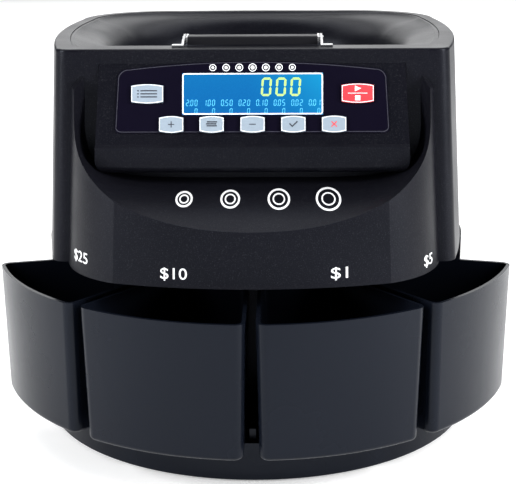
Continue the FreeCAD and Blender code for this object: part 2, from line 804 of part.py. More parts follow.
def make_display():
    """The clear window and the display module behind it."""
    window = doc.addObject("PartDesign::Body", "display_window")
    pad(window, rectangle(dim("display_width"), dim("display_height"), 0.4, dim("display_centre")),
        "Dims.panel_wall + 0.7", "-Dims.panel_wall")
    subpart(seat_on_panel(window), "display_window")
    module = doc.addObject("PartDesign::Body", "display_module")
    pad(module, rectangle(94.0, 24.6, 0.4, 5.4), 3.6, "-Dims.panel_wall - 3.7")
    subpart(seat_on_panel(module), "display_module")


KEY_FLANGE = 1.0
KEY_STEM = 1.1


def make_keys():
    """Seven push keys: bowed caps with a retaining flange behind the housing wall and a short stem."""
    for name, (u, v), (width, height) in KEYS:
        key = doc.addObject("PartDesign::Body", name)
        flange_top = "-Dims.panel_wall - 0.1"
        cap_height = "Dims.panel_wall + 0.2 + Dims.key_rise"
        pad(key, barrel(width, height, u, v), cap_height, "-Dims.panel_wall - 0.2")
        pad(key, rectangle(width + 2.4, height + 2.6, u, v), KEY_FLANGE, f"{flange_top} - {KEY_FLANGE}")
        pad(key, circle(2.0, u, v), KEY_STEM, f"{flange_top} - {KEY_FLANGE} - {KEY_STEM} + 0.05")
        subpart(seat_on_panel(key), name)


SWITCH_GAP = 0.05


def make_keypad_board():
    """The board behind the keys and the seven small switches on it."""
    board = doc.addObject("PartDesign::Body", "keypad_board")
    switch_top = KEY_FLANGE + KEY_STEM + 0.1 + SWITCH_GAP + dim("key_travel")
    switch_bottom = switch_top + dim("switch_height")
    level = f"-Dims.panel_wall - {switch_bottom} - Dims.board_thickness"
    pad(board, rectangle(160.0, 37.0, 0.4, -2.0), cell("board_thickness"), level)
    subpart(seat_on_panel(board), "keypad_board")
    switches = []
    for name, (u, v), size in KEYS:
        base_level = f"-Dims.panel_wall - {switch_bottom}"
        body = block(f"{name}_switch_base", (6, 6, "Dims.switch_height - 0.8"), (u, v), base_level)
        dome = cylinder(f"{name}_switch_dome", 1.7, 1.2, u, v, f"{base_level} + Dims.switch_height - 1.2")
        switches.append(fuse(f"{name}_switch", [body, dome]))
    subpart(seat_on_panel(group("key_switches", switches)), "key_switches")


def make_ribbon():
    """The flat cable from the keypad board, down through the floor and the pedestal to the main board."""
    width = RIBBON_WIDTH
    floor_top = dim("body_bottom") + dim("floor_thickness")
    front_y = -76.0
    runs = [
        (1, 205.0 - floor_top, front_y, floor_top + 0.5),
        (RIBBON_SLOT_Y - front_y + 1, 1, (RIBBON_SLOT_Y + front_y) / 2, floor_top + 0.5),
        (1, floor_top + 1.5 - 44.0, RIBBON_SLOT_Y, 44.0),
        (98.0, 1, RIBBON_SLOT_Y + 48.5, 44.0),
    ]
    pieces = []
    for number, (depth, height, y, bottom) in enumerate(runs):
        pieces.append(block(f"ribbon_run_{number}", (width, depth, height), (0, y), bottom))
    subpart(fuse("panel_ribbon_cable", pieces), "panel_ribbon_cable")


# ---- hopper and lift-up bar -----------------------------------------------------------------------

HOPPER_SEAM = 0.3
HOPPER_WALL = 2.5
# level below the rim as a share of the depth, and how far the outline has closed in to the round throat
BOWL_SECTIONS = ((0.0, 0.0), (0.05, 0.34), (0.14, 0.66), (0.32, 0.84), (0.62, 0.94), (1.0, 1.0))


def hopper_outline(share, growth=0.0):
    """The bowl in plan, between the rim's outline (share 0) and the round throat (share 1)."""
    rim = casing_outline(dim("body_top"), dim("rim_band") + HOPPER_SEAM - growth,
                         dim("rim_front") + HOPPER_SEAM - growth)
    throat = []
    radius = dim("hopper_throat") + growth
    centre_y = dim("disc_y")
    for x, y in rim:
        angle = math.atan2(y - centre_y, x)
        throat.append((radius * math.cos(angle), centre_y + radius * math.sin(angle)))
    for place_in_loop in range(1, len(throat), 2):
        before = throat[place_in_loop - 1]
        after = throat[(place_in_loop + 1) % len(throat)]
        start = math.atan2(before[1] - centre_y, before[0])
        turn = math.atan2(after[1] - centre_y, after[0]) - start
        turn = (turn + math.pi) % (2 * math.pi) - math.pi
        middle = start + turn / 2
        throat[place_in_loop] = (radius * math.cos(middle), centre_y + radius * math.sin(middle))
    pairs = zip(rim, throat)
    return [(a[0] + (b[0] - a[0]) * share, a[1] + (b[1] - a[1]) * share) for a, b in pairs]


def make_hopper():
    """The coin hopper: a flared tray that closes in to a round throat over the disc."""
    top = dim("body_top") - 0.4
    bottom = dim("hopper_bottom")
    depth = top - bottom
    inner = [loop(hopper_outline(share, -1.8), top - drop * depth) for drop, share in BOWL_SECTIONS]
    bowl = loft(inner, ruled=False)
    extra = 2.0
    cap = prism(hopper_outline(0.0, -1.8), top - 0.01, top + extra)
    floor_cut = Part.makeCylinder(dim("hopper_throat") - 1.8, 4, Vector(0, dim("disc_y"), bottom - 2))
    outer_wires = [loop(hopper_outline(0.0), top), loop(hopper_outline(0.0), top - HOPPER_WALL)]
    for drop, share in BOWL_SECTIONS[1:-1]:
        outer_wires.append(loop(hopper_outline(share, 1.0), top - HOPPER_WALL - drop * depth))
    outer_wires.append(loop(hopper_outline(1.0, 1.0), bottom))
    tray = loft(outer_wires).cut(bowl).cut(cap).cut(floor_cut)
    shaped("hopper_tray", tray.removeSplitter())


BAR_BOTTOM_GAP = 0.3
ARM_SHEET = 1.4
ARM_GAP = 0.4


def bar_front():
    return dim("rim_front") + 0.2


def make_bar():
    """The dark bar across the hopper's front edge, its two steel arms, its pin and the pin's brackets."""
    rim = dim("body_top")
    bar_bottom = rim + BAR_BOTTOM_GAP
    half = dim("bar_width") / 2
    front = bar_front()
    depth, height = dim("bar_depth"), dim("bar_height")
    bar = Part.makeBox(2 * half, depth, height, Vector(-half, front, bar_bottom))
    long_edges = [edge for edge in bar.Edges if edge.BoundBox.XLength > half and edge.BoundBox.ZMin > rim + 1]
    bar = bar.makeFillet(1.2, long_edges)
    shaped("hopper_bar", bar)

    pin_y, pin_z, pin_radius = dim("bar_pin_y"), dim("bar_pin_z"), dim("bar_pin_radius")
    arms = []
    bore = pin_radius + dim("running_clearance")
    for side in (-1, 1):
        inner_x = side * half if side > 0 else side * half - ARM_SHEET
        eye = Part.makeCylinder(3.0, ARM_SHEET, Vector(inner_x, pin_y, pin_z), Vector(1, 0, 0))
        strap = Part.makeBox(ARM_SHEET, pin_y - front - 2, 3.6, Vector(inner_x, front + 2, bar_bottom + 0.9))
        hole_start = Vector(inner_x - ARM_SHEET, pin_y, pin_z)
        hole = Part.makeCylinder(bore, 3 * ARM_SHEET, hole_start, Vector(1, 0, 0))
        arms.append(eye.fuse(strap).cut(hole).removeSplitter())
    shaped("bar_arms", Part.makeCompound(arms))

    bracket_x = half + ARM_SHEET + ARM_GAP
    pin_half = bracket_x + ARM_SHEET + 0.8
    pin = Part.makeCylinder(pin_radius, 2 * pin_half, Vector(-pin_half, pin_y, pin_z), Vector(1, 0, 0))
    shaped("bar_pin", pin)

    brackets = []
    foot_front = dim("rim_front") - 9
    for side in (-1, 1):
        start_x = bracket_x if side > 0 else -bracket_x - ARM_SHEET
        ear = Part.makeCylinder(3.0, ARM_SHEET, Vector(start_x, pin_y, pin_z), Vector(1, 0, 0))
        arch_points = [
            Vector(start_x, foot_front, rim),
            Vector(start_x, pin_y - 4, rim),
            Vector(start_x, pin_y + 1, pin_z - 2.8),
            Vector(start_x, pin_y - 1, pin_z + 2.8),
            Vector(start_x, foot_front + 7, rim + 3.6),
            Vector(start_x, foot_front, rim + 1.2),
        ]
        arch = Part.Face(Part.makePolygon(arch_points + arch_points[:1])).extrude(Vector(ARM_SHEET, 0, 0))
        foot_x = start_x if side > 0 else start_x - 6
        foot = Part.makeBox(6 + ARM_SHEET, 7, 1.2, Vector(foot_x, foot_front, rim))
        hole = Part.makeCylinder(pin_radius, 3 * ARM_SHEET, Vector(start_x - ARM_SHEET, pin_y, pin_z),
                                 Vector(1, 0, 0))
        brackets.append(ear.fuse([arch, foot]).cut(hole).removeSplitter())
    shaped("bar_brackets", Part.makeCompound(brackets))


# ---- sorting mechanism ----------------------------------------------------------------------------

# each slot's angle from the front and its length along the rim
SLOTS = ((-55.0, 30.0), (-20.0, 26.0), (20.0, 22.0), (55.0, 18.0))
SLOT_DEPTH = 27.0
FIN_COUNT = 8
CHUTE_WALL = 1.5
CHUTE_TOP_SIZE = 34.0
CHUTE_FOOT_SIZE = 39.0
SENSOR_RADIUS = 52.0


def slot_spots():
    spots = []
    for degrees, length in SLOTS:
        x, y = polar(dim("slot_radius"), degrees)
        spots.append((x, y + dim("disc_y"), degrees, length))
    return spots


def make_sorting_plate():
    """The fixed plate under the disc: a raised ring round it and four slots, one for each coin size."""
    plate = doc.addObject("PartDesign::Body", "sorting_plate")
    bottom, thickness = dim("plate_bottom"), dim("plate_thickness")
    profile = [(12.5, bottom), None, (dim("plate_radius"), bottom), None,
               (dim("plate_radius"), dim("plate_ring_top")), None, (dim("plate_ring"), dim("plate_ring_top")),
               None, (dim("plate_ring"), bottom + thickness), None, (12.5, bottom + thickness), None]
    revolve(plate, profile)
    outlines = []
    for degrees, length in SLOTS:
        x, y = polar(dim("slot_radius"), degrees)
        turn = Rotation(Vector(0, 0, 1), degrees)
        outline = []
        for point in rectangle(length, SLOT_DEPTH):
            if point is None:
                outline.append(None)
                continue
            moved = turn.multVec(Vector(point[0], point[1], 0)) + Vector(x, y, 0)
            outline.append((moved.x, moved.y))
        outlines.append(outline)
    pocket(plate, outlines, "Dims.plate_bottom + Dims.plate_thickness + 1", "Dims.plate_thickness + 2")
    place(plate, 0, cell("disc_y"), 0)
    subpart(plate, "sorting_plate")


def make_feed_disc():
    """The turning disc with raised radial fins, and the domed cap over its hub."""
    disc = doc.addObject("PartDesign::Body", "feed_disc")
    bottom = dim("disc_bottom")
    top = bottom + dim("disc_thickness")
    bore = dim("shaft_radius") - 1 + dim("running_clearance")
    edge = dim("disc_radius")
    profile = [(bore, bottom), None, (edge, bottom), None, (edge, top - 1.5), None,
               (edge - 1.5, top), None, (bore, top), None]
    revolve(disc, profile)
    fin = pad(disc, rectangle(60.0, 4.0, 55.0, 0.0), "Dims.fin_height + 1",
              "Dims.disc_bottom + Dims.disc_thickness - 1")
    pattern = disc.newObject("PartDesign::PolarPattern", "disc_fins")
    pattern.Originals = [fin]
    pattern.Axis = (fin.Profile[0], ["N_Axis"])
    pattern.Angle = 360
    pattern.Occurrences = FIN_COUNT
    disc.Tip = pattern
    place(disc, 0, cell("disc_y"), 0)
    subpart(disc, "feed_disc")

    cap = doc.addObject("PartDesign::Body", "disc_hub_cap")
    edge, rim_height, crown = 21.0, 2.0, 8.0
    socket_top = top + 2.4
    dome_rise = crown - rim_height
    dome_radius = (edge ** 2 + dome_rise ** 2) / (2 * dome_rise)
    half_angle = math.asin(edge / dome_radius) / 2
    dome_middle = (dome_radius * math.sin(half_angle),
                   top + crown - dome_radius * (1 - math.cos(half_angle)))
    profile = [(0, socket_top), None, (bore, socket_top), None, (bore, top), None, (edge, top), None,
               (edge, top + rim_height), dome_middle, (0, top + crown), None]
    revolve(cap, profile)
    place(cap, 0, cell("disc_y"), 0)
    subpart(cap, "disc_hub_cap")


def make_shaft_and_bearings():
    """The disc's shaft in two plain-sided ball bearings, each in its own housing."""
    shaft = doc.addObject("PartDesign::Body", "disc_shaft")
    radius = dim("shaft_radius")
    lower, shoulder = 146.0, dim("disc_bottom")
    top = shoulder + dim("disc_thickness") + 2.2
    revolve(shaft, [(0, lower), None, (radius - 0.6, lower), None, (radius, lower + 0.6), None,
                    (radius, shoulder), None, (radius - 1, shoulder), None, (radius - 1, top), None,
                    (0, top), None])
    place(shaft, 0, cell("disc_y"), 0)
    subpart(shaft, "disc_shaft")
    bore = radius + dim("running_clearance")
    outer = dim("bearing_radius")
    height = dim("bearing_height")
    groove = 1.0
    for name, bottom in (("upper_bearing", 172.0), ("lower_bearing", 148.0)):
        bearing = doc.addObject("PartDesign::Body", name)
        top = bottom + height
        inner_land, outer_land = bore + 1.8, outer - 1.8
        profile = [(bore, bottom), None, (inner_land, bottom), None, (inner_land, bottom + groove), None,
                   (outer_land, bottom + groove), None, (outer_land, bottom), None, (outer, bottom), None,
                   (outer, top), None, (outer_land, top), None, (outer_land, top - groove), None,
                   (inner_land, top - groove), None, (inner_land, top), None, (bore, top), None]
        revolve(bearing, profile)
        place(bearing, 0, cell("disc_y"), 0)
        subpart(bearing, name)
    seat = outer + 0.02
    plate_bottom = dim("plate_bottom")
    upper = doc.addObject("PartDesign::Body", "upper_bearing_housing")
    revolve(upper, [(seat, 172.0), None, (seat, plate_bottom), None, (28.0, plate_bottom), None,
                    (28.0, plate_bottom - 3), None, (16.0, plate_bottom - 3), None, (16.0, 170.0), None,
                    (8.0, 170.0), None, (8.0, 172.0), None])
    place(upper, 0, cell("disc_y"), 0)
    subpart(upper, "upper_bearing_housing")
    floor_top = dim("body_bottom") + dim("floor_thickness")
    lower = doc.addObject("PartDesign::Body", "lower_bearing_housing")
    revolve(lower, [(6.0, floor_top), None, (26.0, floor_top), None, (26.0, floor_top + 3), None,
                    (17.0, floor_top + 6), None, (16.0, 155.0), None,
                    (seat, 155.0), None, (seat, 148.0), None,
                    (8.0, 148.0), None, (6.0, 144.0), None])
    place(lower, 0, cell("disc_y"), 0)
    subpart(lower, "lower_bearing_housing")


TOOTH_SHARE = 0.42
PRESSURE_ANGLE = 20.0


def gear_solid(teeth, bore, bottom, height, phase, x, y):
    """A spur gear with straight flanks, slim enough to leave backlash; phase is a tooth's direction."""
    module = dim("gear_module")
    pitch = module * teeth / 2
    slope = math.tan(math.radians(PRESSURE_ANGLE))
    half_pitch = TOOTH_SHARE * math.pi * module / 2
    tip, root = pitch + module, pitch - 1.25 * module
    half_tip = (half_pitch - module * slope) / tip
    half_root = (half_pitch + 1.25 * module * slope) / root
    points = []
    for tooth in range(teeth):
        middle = math.radians(phase) + 2 * math.pi * tooth / teeth
        for radius, offset in ((root, -half_root), (tip, -half_tip), (tip, half_tip), (root, half_root)):
            angle = middle + offset
            points.append(Vector(x + radius * math.cos(angle), y + radius * math.sin(angle), bottom))
    solid = Part.Face(Part.makePolygon(points + points[:1])).extrude(Vector(0, 0, height))
    return solid.cut(Part.makeCylinder(bore, height + 2, Vector(x, y, bottom - 1)))


def pinion_y():
    teeth = dim("gear_teeth") + dim("pinion_teeth")
    return dim("disc_y") + dim("gear_module") * teeth / 2


def make_drive():
    """The large gear on the disc's shaft and the pinion on the motor's shaft behind it, in mesh."""
    bottom, width = dim("gear_bottom"), dim("gear_face_width")
    clearance = dim("running_clearance")
    gear = gear_solid(int(dim("gear_teeth")), dim("shaft_radius") + clearance, bottom, width, 90.0, 0.0,
                      dim("disc_y"))
    for turn in range(6):
        angle = math.radians(60 * turn)
        spot = Vector(21 * math.cos(angle), dim("disc_y") + 21 * math.sin(angle), bottom - 1)
        gear = gear.cut(Part.makeCylinder(7.0, width + 2, spot))
    shaped("drive_gear", gear)
    motor_y = pinion_y()
    shaft_radius = 3.0
    half_tooth = 180.0 / dim("pinion_teeth")
    pinion = gear_solid(int(dim("pinion_teeth")), shaft_radius + clearance, bottom + 0.5, width - 0.5,
                        90.0 + half_tooth, 0.0, motor_y)
    shaped("motor_pinion", pinion)
    shaft = Part.makeCylinder(shaft_radius, 14.4, Vector(0, motor_y, dim("motor_top") + 0.1))
    shaped("motor_shaft", shaft)


def make_motor():
    """The gear motor hanging in a folded sheet bracket that stands on the floor."""
    bottom, top = dim("motor_bottom"), dim("motor_top")
    motor_y = pinion_y()
    can = cylinder("motor_can", cell("motor_radius"), "Dims.motor_top - Dims.motor_bottom", 0, motor_y,
                   cell("motor_bottom"))
    terminals = [block(f"motor_terminal_{side + 2}", (3, 6, 5), (7 * side, motor_y + dim("motor_radius") - 1),
                       bottom + 4) for side in (-1, 1)]
    subpart(fuse("gear_motor", [can] + terminals), "gear_motor")
    sheet_thickness = dim("bracket_sheet")
    floor_top = dim("body_bottom") + dim("floor_thickness")
    leg_x = dim("motor_radius") + 5
    pieces = [block("bracket_top", (2 * leg_x + sheet_thickness, 34, sheet_thickness), (0, motor_y), top)]
    for side in (-1, 1):
        pieces.append(block(f"bracket_leg_{side + 2}", (sheet_thickness, 34, top + 1 - floor_top),
                            (side * leg_x, motor_y), floor_top))
        pieces.append(block(f"bracket_foot_{side + 2}", (11, 34, sheet_thickness),
                            (side * (leg_x + 5), motor_y), floor_top))
    hole = cylinder("bracket_hole", 5, 10, 0, motor_y, top - 4)
    subpart(cut("motor_bracket", fuse("bracket_sheet_metal", pieces), [hole]), "motor_bracket")


def make_chutes():
    """Four square ducts, each leading from a slot in the sorting plate to an outlet in the floor."""
    top = dim("plate_bottom") - 0.1
    bottom = dim("body_bottom") + dim("floor_thickness")
    for number, (slot, outlet, step) in enumerate(zip(slot_spots(), outlet_spots(), CUP_ANGLES), start=1):
        slot_x, slot_y, slot_turn, length = slot
        outlet_turn = step * dim("cup_pitch")
        solids = []
        for trim, over in ((0.0, 0.0), (2 * CHUTE_WALL, 0.01)):
            high = turned_square(CHUTE_TOP_SIZE - trim, slot_x, slot_y, slot_turn, top + over)
            low = turned_square(CHUTE_FOOT_SIZE - trim, *outlet, outlet_turn, bottom - over)
            solids.append(loft([low, high]))
        shaped(f"coin_chute_{number}", solids[0].cut(solids[1]))


def make_sensors():
    """A small coin sensor under the plate beside each slot."""
    sensors = []
    for number, (degrees, length) in enumerate(SLOTS, start=1):
        x, y = polar(SENSOR_RADIUS, degrees)
        sensors.append(cylinder(f"sensor_{number}", 4.5, 9, x, y + dim("disc_y"), "Dims.plate_bottom - 9"))
    subpart(group("coin_sensors", sensors), "coin_sensors")


POST_SPOTS = ((90.0, 56.0), (-90.0, 56.0), (46.0, 111.0), (-46.0, 111.0))


def make_posts():
    """Posts that hold the sorting plate above the floor."""
    posts = []
    for number, (x, y) in enumerate(POST_SPOTS, start=1):
        floor_top = "Dims.body_bottom + Dims.floor_thickness"
        posts.append(cylinder(f"post_{number}", 4, f"Dims.plate_bottom - ({floor_top})", x, y, floor_top))
    subpart(group("support_posts", posts), "support_posts")


# ---- power and electronics ------------------------------------------------------------------------

BOARD_SPOT = (30.0, 79.0)
BOARD_SIZE = (88.0, 60.0)
BOARD_LEVEL = 36.0
BOARD_HOLE_INSET = 5.0


def make_main_board():
    """The main board with its larger components, on four standoffs."""
    x, y = BOARD_SPOT
    width, depth = BOARD_SIZE
    top = BOARD_LEVEL + dim("board_thickness")
    pieces = [block("main_board_sheet", (width, depth, cell("board_thickness")), BOARD_SPOT, BOARD_LEVEL)]
    parts_on_board = (
        (-32.0, -24.0, 18.0, 8.0, 6.0),
        (-10.0, 4.0, 16.0, 16.0, 2.0),
        (16.0, 12.0, 12.0, 8.0, 2.5),
        (30.0, -12.0, 14.0, 22.0, 12.0),
    )
    for number, (u, v, length, across, rise) in enumerate(parts_on_board):
        pieces.append(block(f"component_{number}", (length, across, rise), (x + u, y + v), top))
    for number in range(3):
        pieces.append(cylinder(f"capacitor_{number}", 5, 14, x - 12 + 12 * number, y + 24, top))
    subpart(fuse("main_board", pieces), "main_board")
    standoffs = []
    for number, (side, end) in enumerate(CORNERS):
        spot = (x + side * (width / 2 - BOARD_HOLE_INSET), y + end * (depth / 2 - BOARD_HOLE_INSET))
        standoffs.append(cylinder(f"standoff_{number}", 3.5, f"{BOARD_LEVEL} - Dims.drum_top", *spot,
                                  cell("drum_top")))
    subpart(group("board_standoffs", standoffs), "board_standoffs")


def make_transformer():
    """The mains transformer: a laminated core with a winding that stands out each side."""
    x, y = -66.0, 72.0
    core = block("transformer_core", (50, 30, 42), (x, y), cell("drum_top"))
    winding = block("transformer_winding", (30, 46, 26), (x, y), "Dims.drum_top + 8")
    feet = block("transformer_feet", (66, 20, 2), (x, y), cell("drum_top"))
    subpart(fuse("transformer", [core, winding, feet]), "transformer")


def make_power_inlet():
    """The mains inlet: a flanged socket with three flat pins in the rear recess."""
    level = REAR_RECESS[2]
    floor_y = dim("rear_recess_floor")
    width, height = INLET_WINDOW
    body = centred_box(width - 0.6, 18, height - 0.6, INLET_X, floor_y - 8, level)
    flange = centred_box(width + 6, 2, height + 6, INLET_X, floor_y + 1, level)
    socket = centred_box(width - 4.6, 16, height - 4.6, INLET_X, floor_y - 6 + 0.5, level)
    inlet = body.fuse(flange).cut(socket)
    pins = []
    for shift_x, shift_z in ((-7.0, 0.0), (0.0, 2.5), (7.0, 0.0)):
        pins.append(centred_box(2, 13, 4, INLET_X + shift_x, floor_y - 8.5, level + shift_z))
    shaped("power_inlet", inlet.fuse(pins).removeSplitter())


ROCKER_HALF_THROW = 9.0
ROCKER_PIN_HALF = 9.9
ROCKER_PIN_RADIUS = 1.6


def rocker_pin(half_length, radius, y, level):
    """A round bar along the axis that the rocker tips about."""
    start = Vector(SWITCH_X - half_length, y, level)
    return Part.makeCylinder(radius, 2 * half_length, start, Vector(1, 0, 0))


def make_power_switch():
    """The rocker switch: a fixed frame and a rocker that tips about a pin across its width."""
    level = REAR_RECESS[2]
    floor_y = dim("rear_recess_floor")
    width, height = SWITCH_WINDOW
    body = centred_box(width - 0.6, 16, height - 0.6, SWITCH_X, floor_y - 7, level)
    flange = centred_box(width + 5, 1.6, height + 5, SWITCH_X, floor_y + 0.8, level)
    hollow = centred_box(width - 3.4, 12, height - 3.0, SWITCH_X, floor_y - 3.4, level)
    pivot_y = floor_y - 4.5
    pin_room = rocker_pin(ROCKER_PIN_HALF + 0.15, ROCKER_PIN_RADIUS + 0.05, pivot_y, level)
    shaped("power_switch_frame", body.fuse(flange).cut([hollow, pin_room]).removeSplitter())

    half_width = width / 2 - 2.2
    reach = height / 2 - 2.9
    points = [Vector(0, -2.5, 0), Vector(0, 3.6, -reach), Vector(0, 6.2, -reach), Vector(0, 5.0, 0),
              Vector(0, 6.2, reach), Vector(0, 3.6, reach)]
    rocker = Part.Face(Part.makePolygon(points + points[:1])).extrude(Vector(2 * half_width, 0, 0))
    rocker.rotate(Vector(), Vector(1, 0, 0), -ROCKER_HALF_THROW)
    rocker.translate(Vector(SWITCH_X - half_width, pivot_y, level))
    pin = rocker_pin(ROCKER_PIN_HALF, ROCKER_PIN_RADIUS, pivot_y, level)
    shaped("power_switch_rocker", rocker.fuse(pin).removeSplitter())


# ---- fasteners ------------------------------------------------------------------------------------


def screw(x, y, head_top, shank_length):
    """A flat-headed screw standing upside down: its head ends at head_top and its shank goes on up."""
    head_bottom = head_top - HEAD_HEIGHT
    head = Part.makeCylinder(HEAD_RADIUS, HEAD_HEIGHT, Vector(x, y, head_bottom))
    shank = Part.makeCylinder(SHANK_RADIUS, shank_length, Vector(x, y, head_top))
    slot = centred_box(2 * HEAD_RADIUS + 1, 0.8, 1.0, x, y, head_bottom)
    return head.fuse(shank).cut(slot).removeSplitter()


def make_screws():
    """The case screws under the base and in the pedestal's top, and the smaller panel and motor screws."""
    screws = [screw(side * SCREW_SPREAD, end * SCREW_SPREAD, dim("foot_height"), 14.0)
              for side, end in CORNERS]
    screws += [screw(x, y, dim("body_bottom") - dim("wall"), 20.0) for x, y in body_screw_spots()]
    shaped("case_screws", Part.makeCompound(screws))

    small = []
    flange_back = dim("front_wall") + dim("wall") + FLANGE_SHEET
    for x, z in panel_screw_spots():
        solid = screw(0, 0, 0, FLANGE_SHEET + 2.0)
        solid.rotate(Vector(), Vector(1, 0, 0), 90)
        solid.translate(Vector(x, flange_back, z))
        small.append(solid)
    shaped("panel_screws", Part.makeCompound(small))


make_feet()
make_base_plate()
make_base_drum()
make_pedestal()
make_cups()
make_body_shell()
make_body_floor()
make_control_housing()
make_overlay()
make_display()
make_keys()
make_keypad_board()
make_ribbon()
make_hopper()
make_bar()
make_sorting_plate()
make_feed_disc()
make_shaft_and_bearings()
make_drive()
make_motor()
make_chutes()
make_sensors()
make_posts()
make_main_board()
make_transformer()
make_power_inlet()
make_power_switch()
make_screws()

doc.recompute()

failed = [item.Label for item in doc.Objects if {"Invalid", "Error"} & set(item.State)]
if failed:
    raise RuntimeError("failed objects: " + ", ".join(failed))
for piece in subparts:
    if piece.Shape.isNull() or not piece.Shape.isValid() or not piece.Shape.Solids:
        raise RuntimeError("bad shape: " + piece.Label)

os.makedirs("parts", exist_ok=True)
for piece in subparts:
    piece.Shape.exportStep(os.path.join("parts", piece.Label + ".step"))
print(len(subparts), "sub-parts written")
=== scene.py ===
import json
import math

import bmesh
import bpy
from mathutils import Matrix, Vector
from mathutils.bvhtree import BVHTree

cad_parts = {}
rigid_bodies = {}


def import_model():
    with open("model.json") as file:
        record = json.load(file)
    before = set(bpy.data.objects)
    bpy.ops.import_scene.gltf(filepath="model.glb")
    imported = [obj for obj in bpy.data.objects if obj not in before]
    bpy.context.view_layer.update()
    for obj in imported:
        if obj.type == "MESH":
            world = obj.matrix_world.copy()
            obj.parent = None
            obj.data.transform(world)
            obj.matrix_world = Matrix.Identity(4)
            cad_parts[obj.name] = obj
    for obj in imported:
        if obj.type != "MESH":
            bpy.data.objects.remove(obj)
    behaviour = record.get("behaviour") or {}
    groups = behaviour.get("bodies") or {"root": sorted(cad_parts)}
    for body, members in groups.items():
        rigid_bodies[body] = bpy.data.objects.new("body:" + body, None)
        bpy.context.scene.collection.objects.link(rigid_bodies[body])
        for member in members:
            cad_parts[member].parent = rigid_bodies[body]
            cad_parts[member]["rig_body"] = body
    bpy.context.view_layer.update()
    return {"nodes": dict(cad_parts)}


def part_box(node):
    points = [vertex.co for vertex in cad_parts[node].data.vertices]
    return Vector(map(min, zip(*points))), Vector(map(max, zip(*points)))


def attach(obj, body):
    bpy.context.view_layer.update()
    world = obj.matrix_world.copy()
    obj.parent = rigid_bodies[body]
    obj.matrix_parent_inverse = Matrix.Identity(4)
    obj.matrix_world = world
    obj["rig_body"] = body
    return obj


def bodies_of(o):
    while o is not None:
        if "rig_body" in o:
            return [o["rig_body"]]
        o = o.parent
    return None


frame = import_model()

# Coin sorting machine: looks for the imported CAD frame. Metres, +Z up, -Y to the front.

MM = 0.001
RIGHT = Vector((1, 0, 0))

# ---- camera ---------------------------------------------------------------------------------------

CAMERA_PLACE = Vector((0.0200, -0.8894, 0.3625))
CAMERA_YAW = 0.0210
CAMERA_PITCH = 0.2694
CAMERA_ROLL = -0.0068
CAMERA_LENS = 92.45


def make_camera():
    """A level-headed tabletop view from a little above, turned by its yaw, pitch and slight roll."""
    forward = Vector((-math.cos(CAMERA_PITCH) * math.sin(CAMERA_YAW),
                      math.cos(CAMERA_PITCH) * math.cos(CAMERA_YAW),
                      -math.sin(CAMERA_PITCH)))
    level_right = Vector((math.cos(CAMERA_YAW), math.sin(CAMERA_YAW), 0))
    level_up = level_right.cross(forward)
    right = level_right * math.cos(CAMERA_ROLL) + level_up * math.sin(CAMERA_ROLL)
    up = right.cross(forward)
    data = bpy.data.cameras.new("camera")
    data.sensor_width = 36
    data.lens = CAMERA_LENS
    data.clip_start = 0.01
    camera = bpy.data.objects.new("camera", data)
    bpy.context.scene.collection.objects.link(camera)
    turn = Matrix((right, up, -forward)).transposed()
    camera.matrix_world = Matrix.Translation(CAMERA_PLACE) @ turn.to_4x4()
    bpy.context.scene.camera = camera
    return forward, up


VIEW_FORWARD, VIEW_UP = make_camera()

# ---- materials ------------------------------------------------------------------------------------


class Surface:
    """A node tree under construction, with short calls for the nodes that every finish uses."""

    def __init__(self, name, roughness, specular=0.5, metallic=0.0):
        self.material = bpy.data.materials.new(name)
        self.material.use_nodes = True
        self.tree = self.material.node_tree
        self.shader = self.tree.nodes["Principled BSDF"]
        self.shader.inputs["Roughness"].default_value = roughness
        self.shader.inputs["Specular IOR Level"].default_value = specular
        self.shader.inputs["Metallic"].default_value = metallic
        self.place = self.tree.nodes.new("ShaderNodeTexCoord").outputs["Object"]

    def node(self, kind, values=(), **settings):
        made = self.tree.nodes.new(kind)
        for key, value in settings.items():
            setattr(made, key, value)
        for socket, value in dict(values).items():
            if isinstance(value, bpy.types.NodeSocket):
                self.tree.links.new(value, made.inputs[socket])
            else:
                made.inputs[socket].default_value = value
        return made

    def stretched(self, scale):
        """The object's coordinates, squeezed by a factor along each axis."""
        return self.node("ShaderNodeMapping", {"Vector": self.place, "Scale": scale}).outputs["Vector"]

    def noise(self, scale, detail=3.0, place=None):
        return self.node("ShaderNodeTexNoise", {"Vector": place or self.place, "Scale": scale,
                                                "Detail": detail}).outputs["Fac"]

    def spread(self, value, low, high, start=0.3, end=0.7):
        """A value from start to end, carried onto low to high."""
        return self.node("ShaderNodeMapRange", {"Value": value, "From Min": start, "From Max": end,
                                                "To Min": low, "To Max": high}).outputs["Result"]

    def blend(self, factor, first, second):
        mixed = self.node("ShaderNodeMix", data_type="RGBA")
        self.tree.links.new(factor, mixed.inputs[0])
        for socket, value in ((mixed.inputs[6], first), (mixed.inputs[7], second)):
            if isinstance(value, bpy.types.NodeSocket):
                self.tree.links.new(value, socket)
            else:
                socket.default_value = (*value, 1)
        return mixed.outputs[2]

    def feed(self, socket, value):
        self.tree.links.new(value, self.shader.inputs[socket])

    def bumps(self, height, strength, depth):
        bump = self.node("ShaderNodeBump", {"Height": height, "Strength": strength, "Distance": depth})
        self.feed("Normal", bump.outputs["Normal"])


# The tone of the painted glints: light specks that stand in for the sparkle of light on the grained plastic.
SPARKLE_TONE = (0.24, 0.25, 0.28)
GRAIN_STRENGTH = 0.45
GLOSS_SCALE = 22.0
TONE_SCALE = 9.0


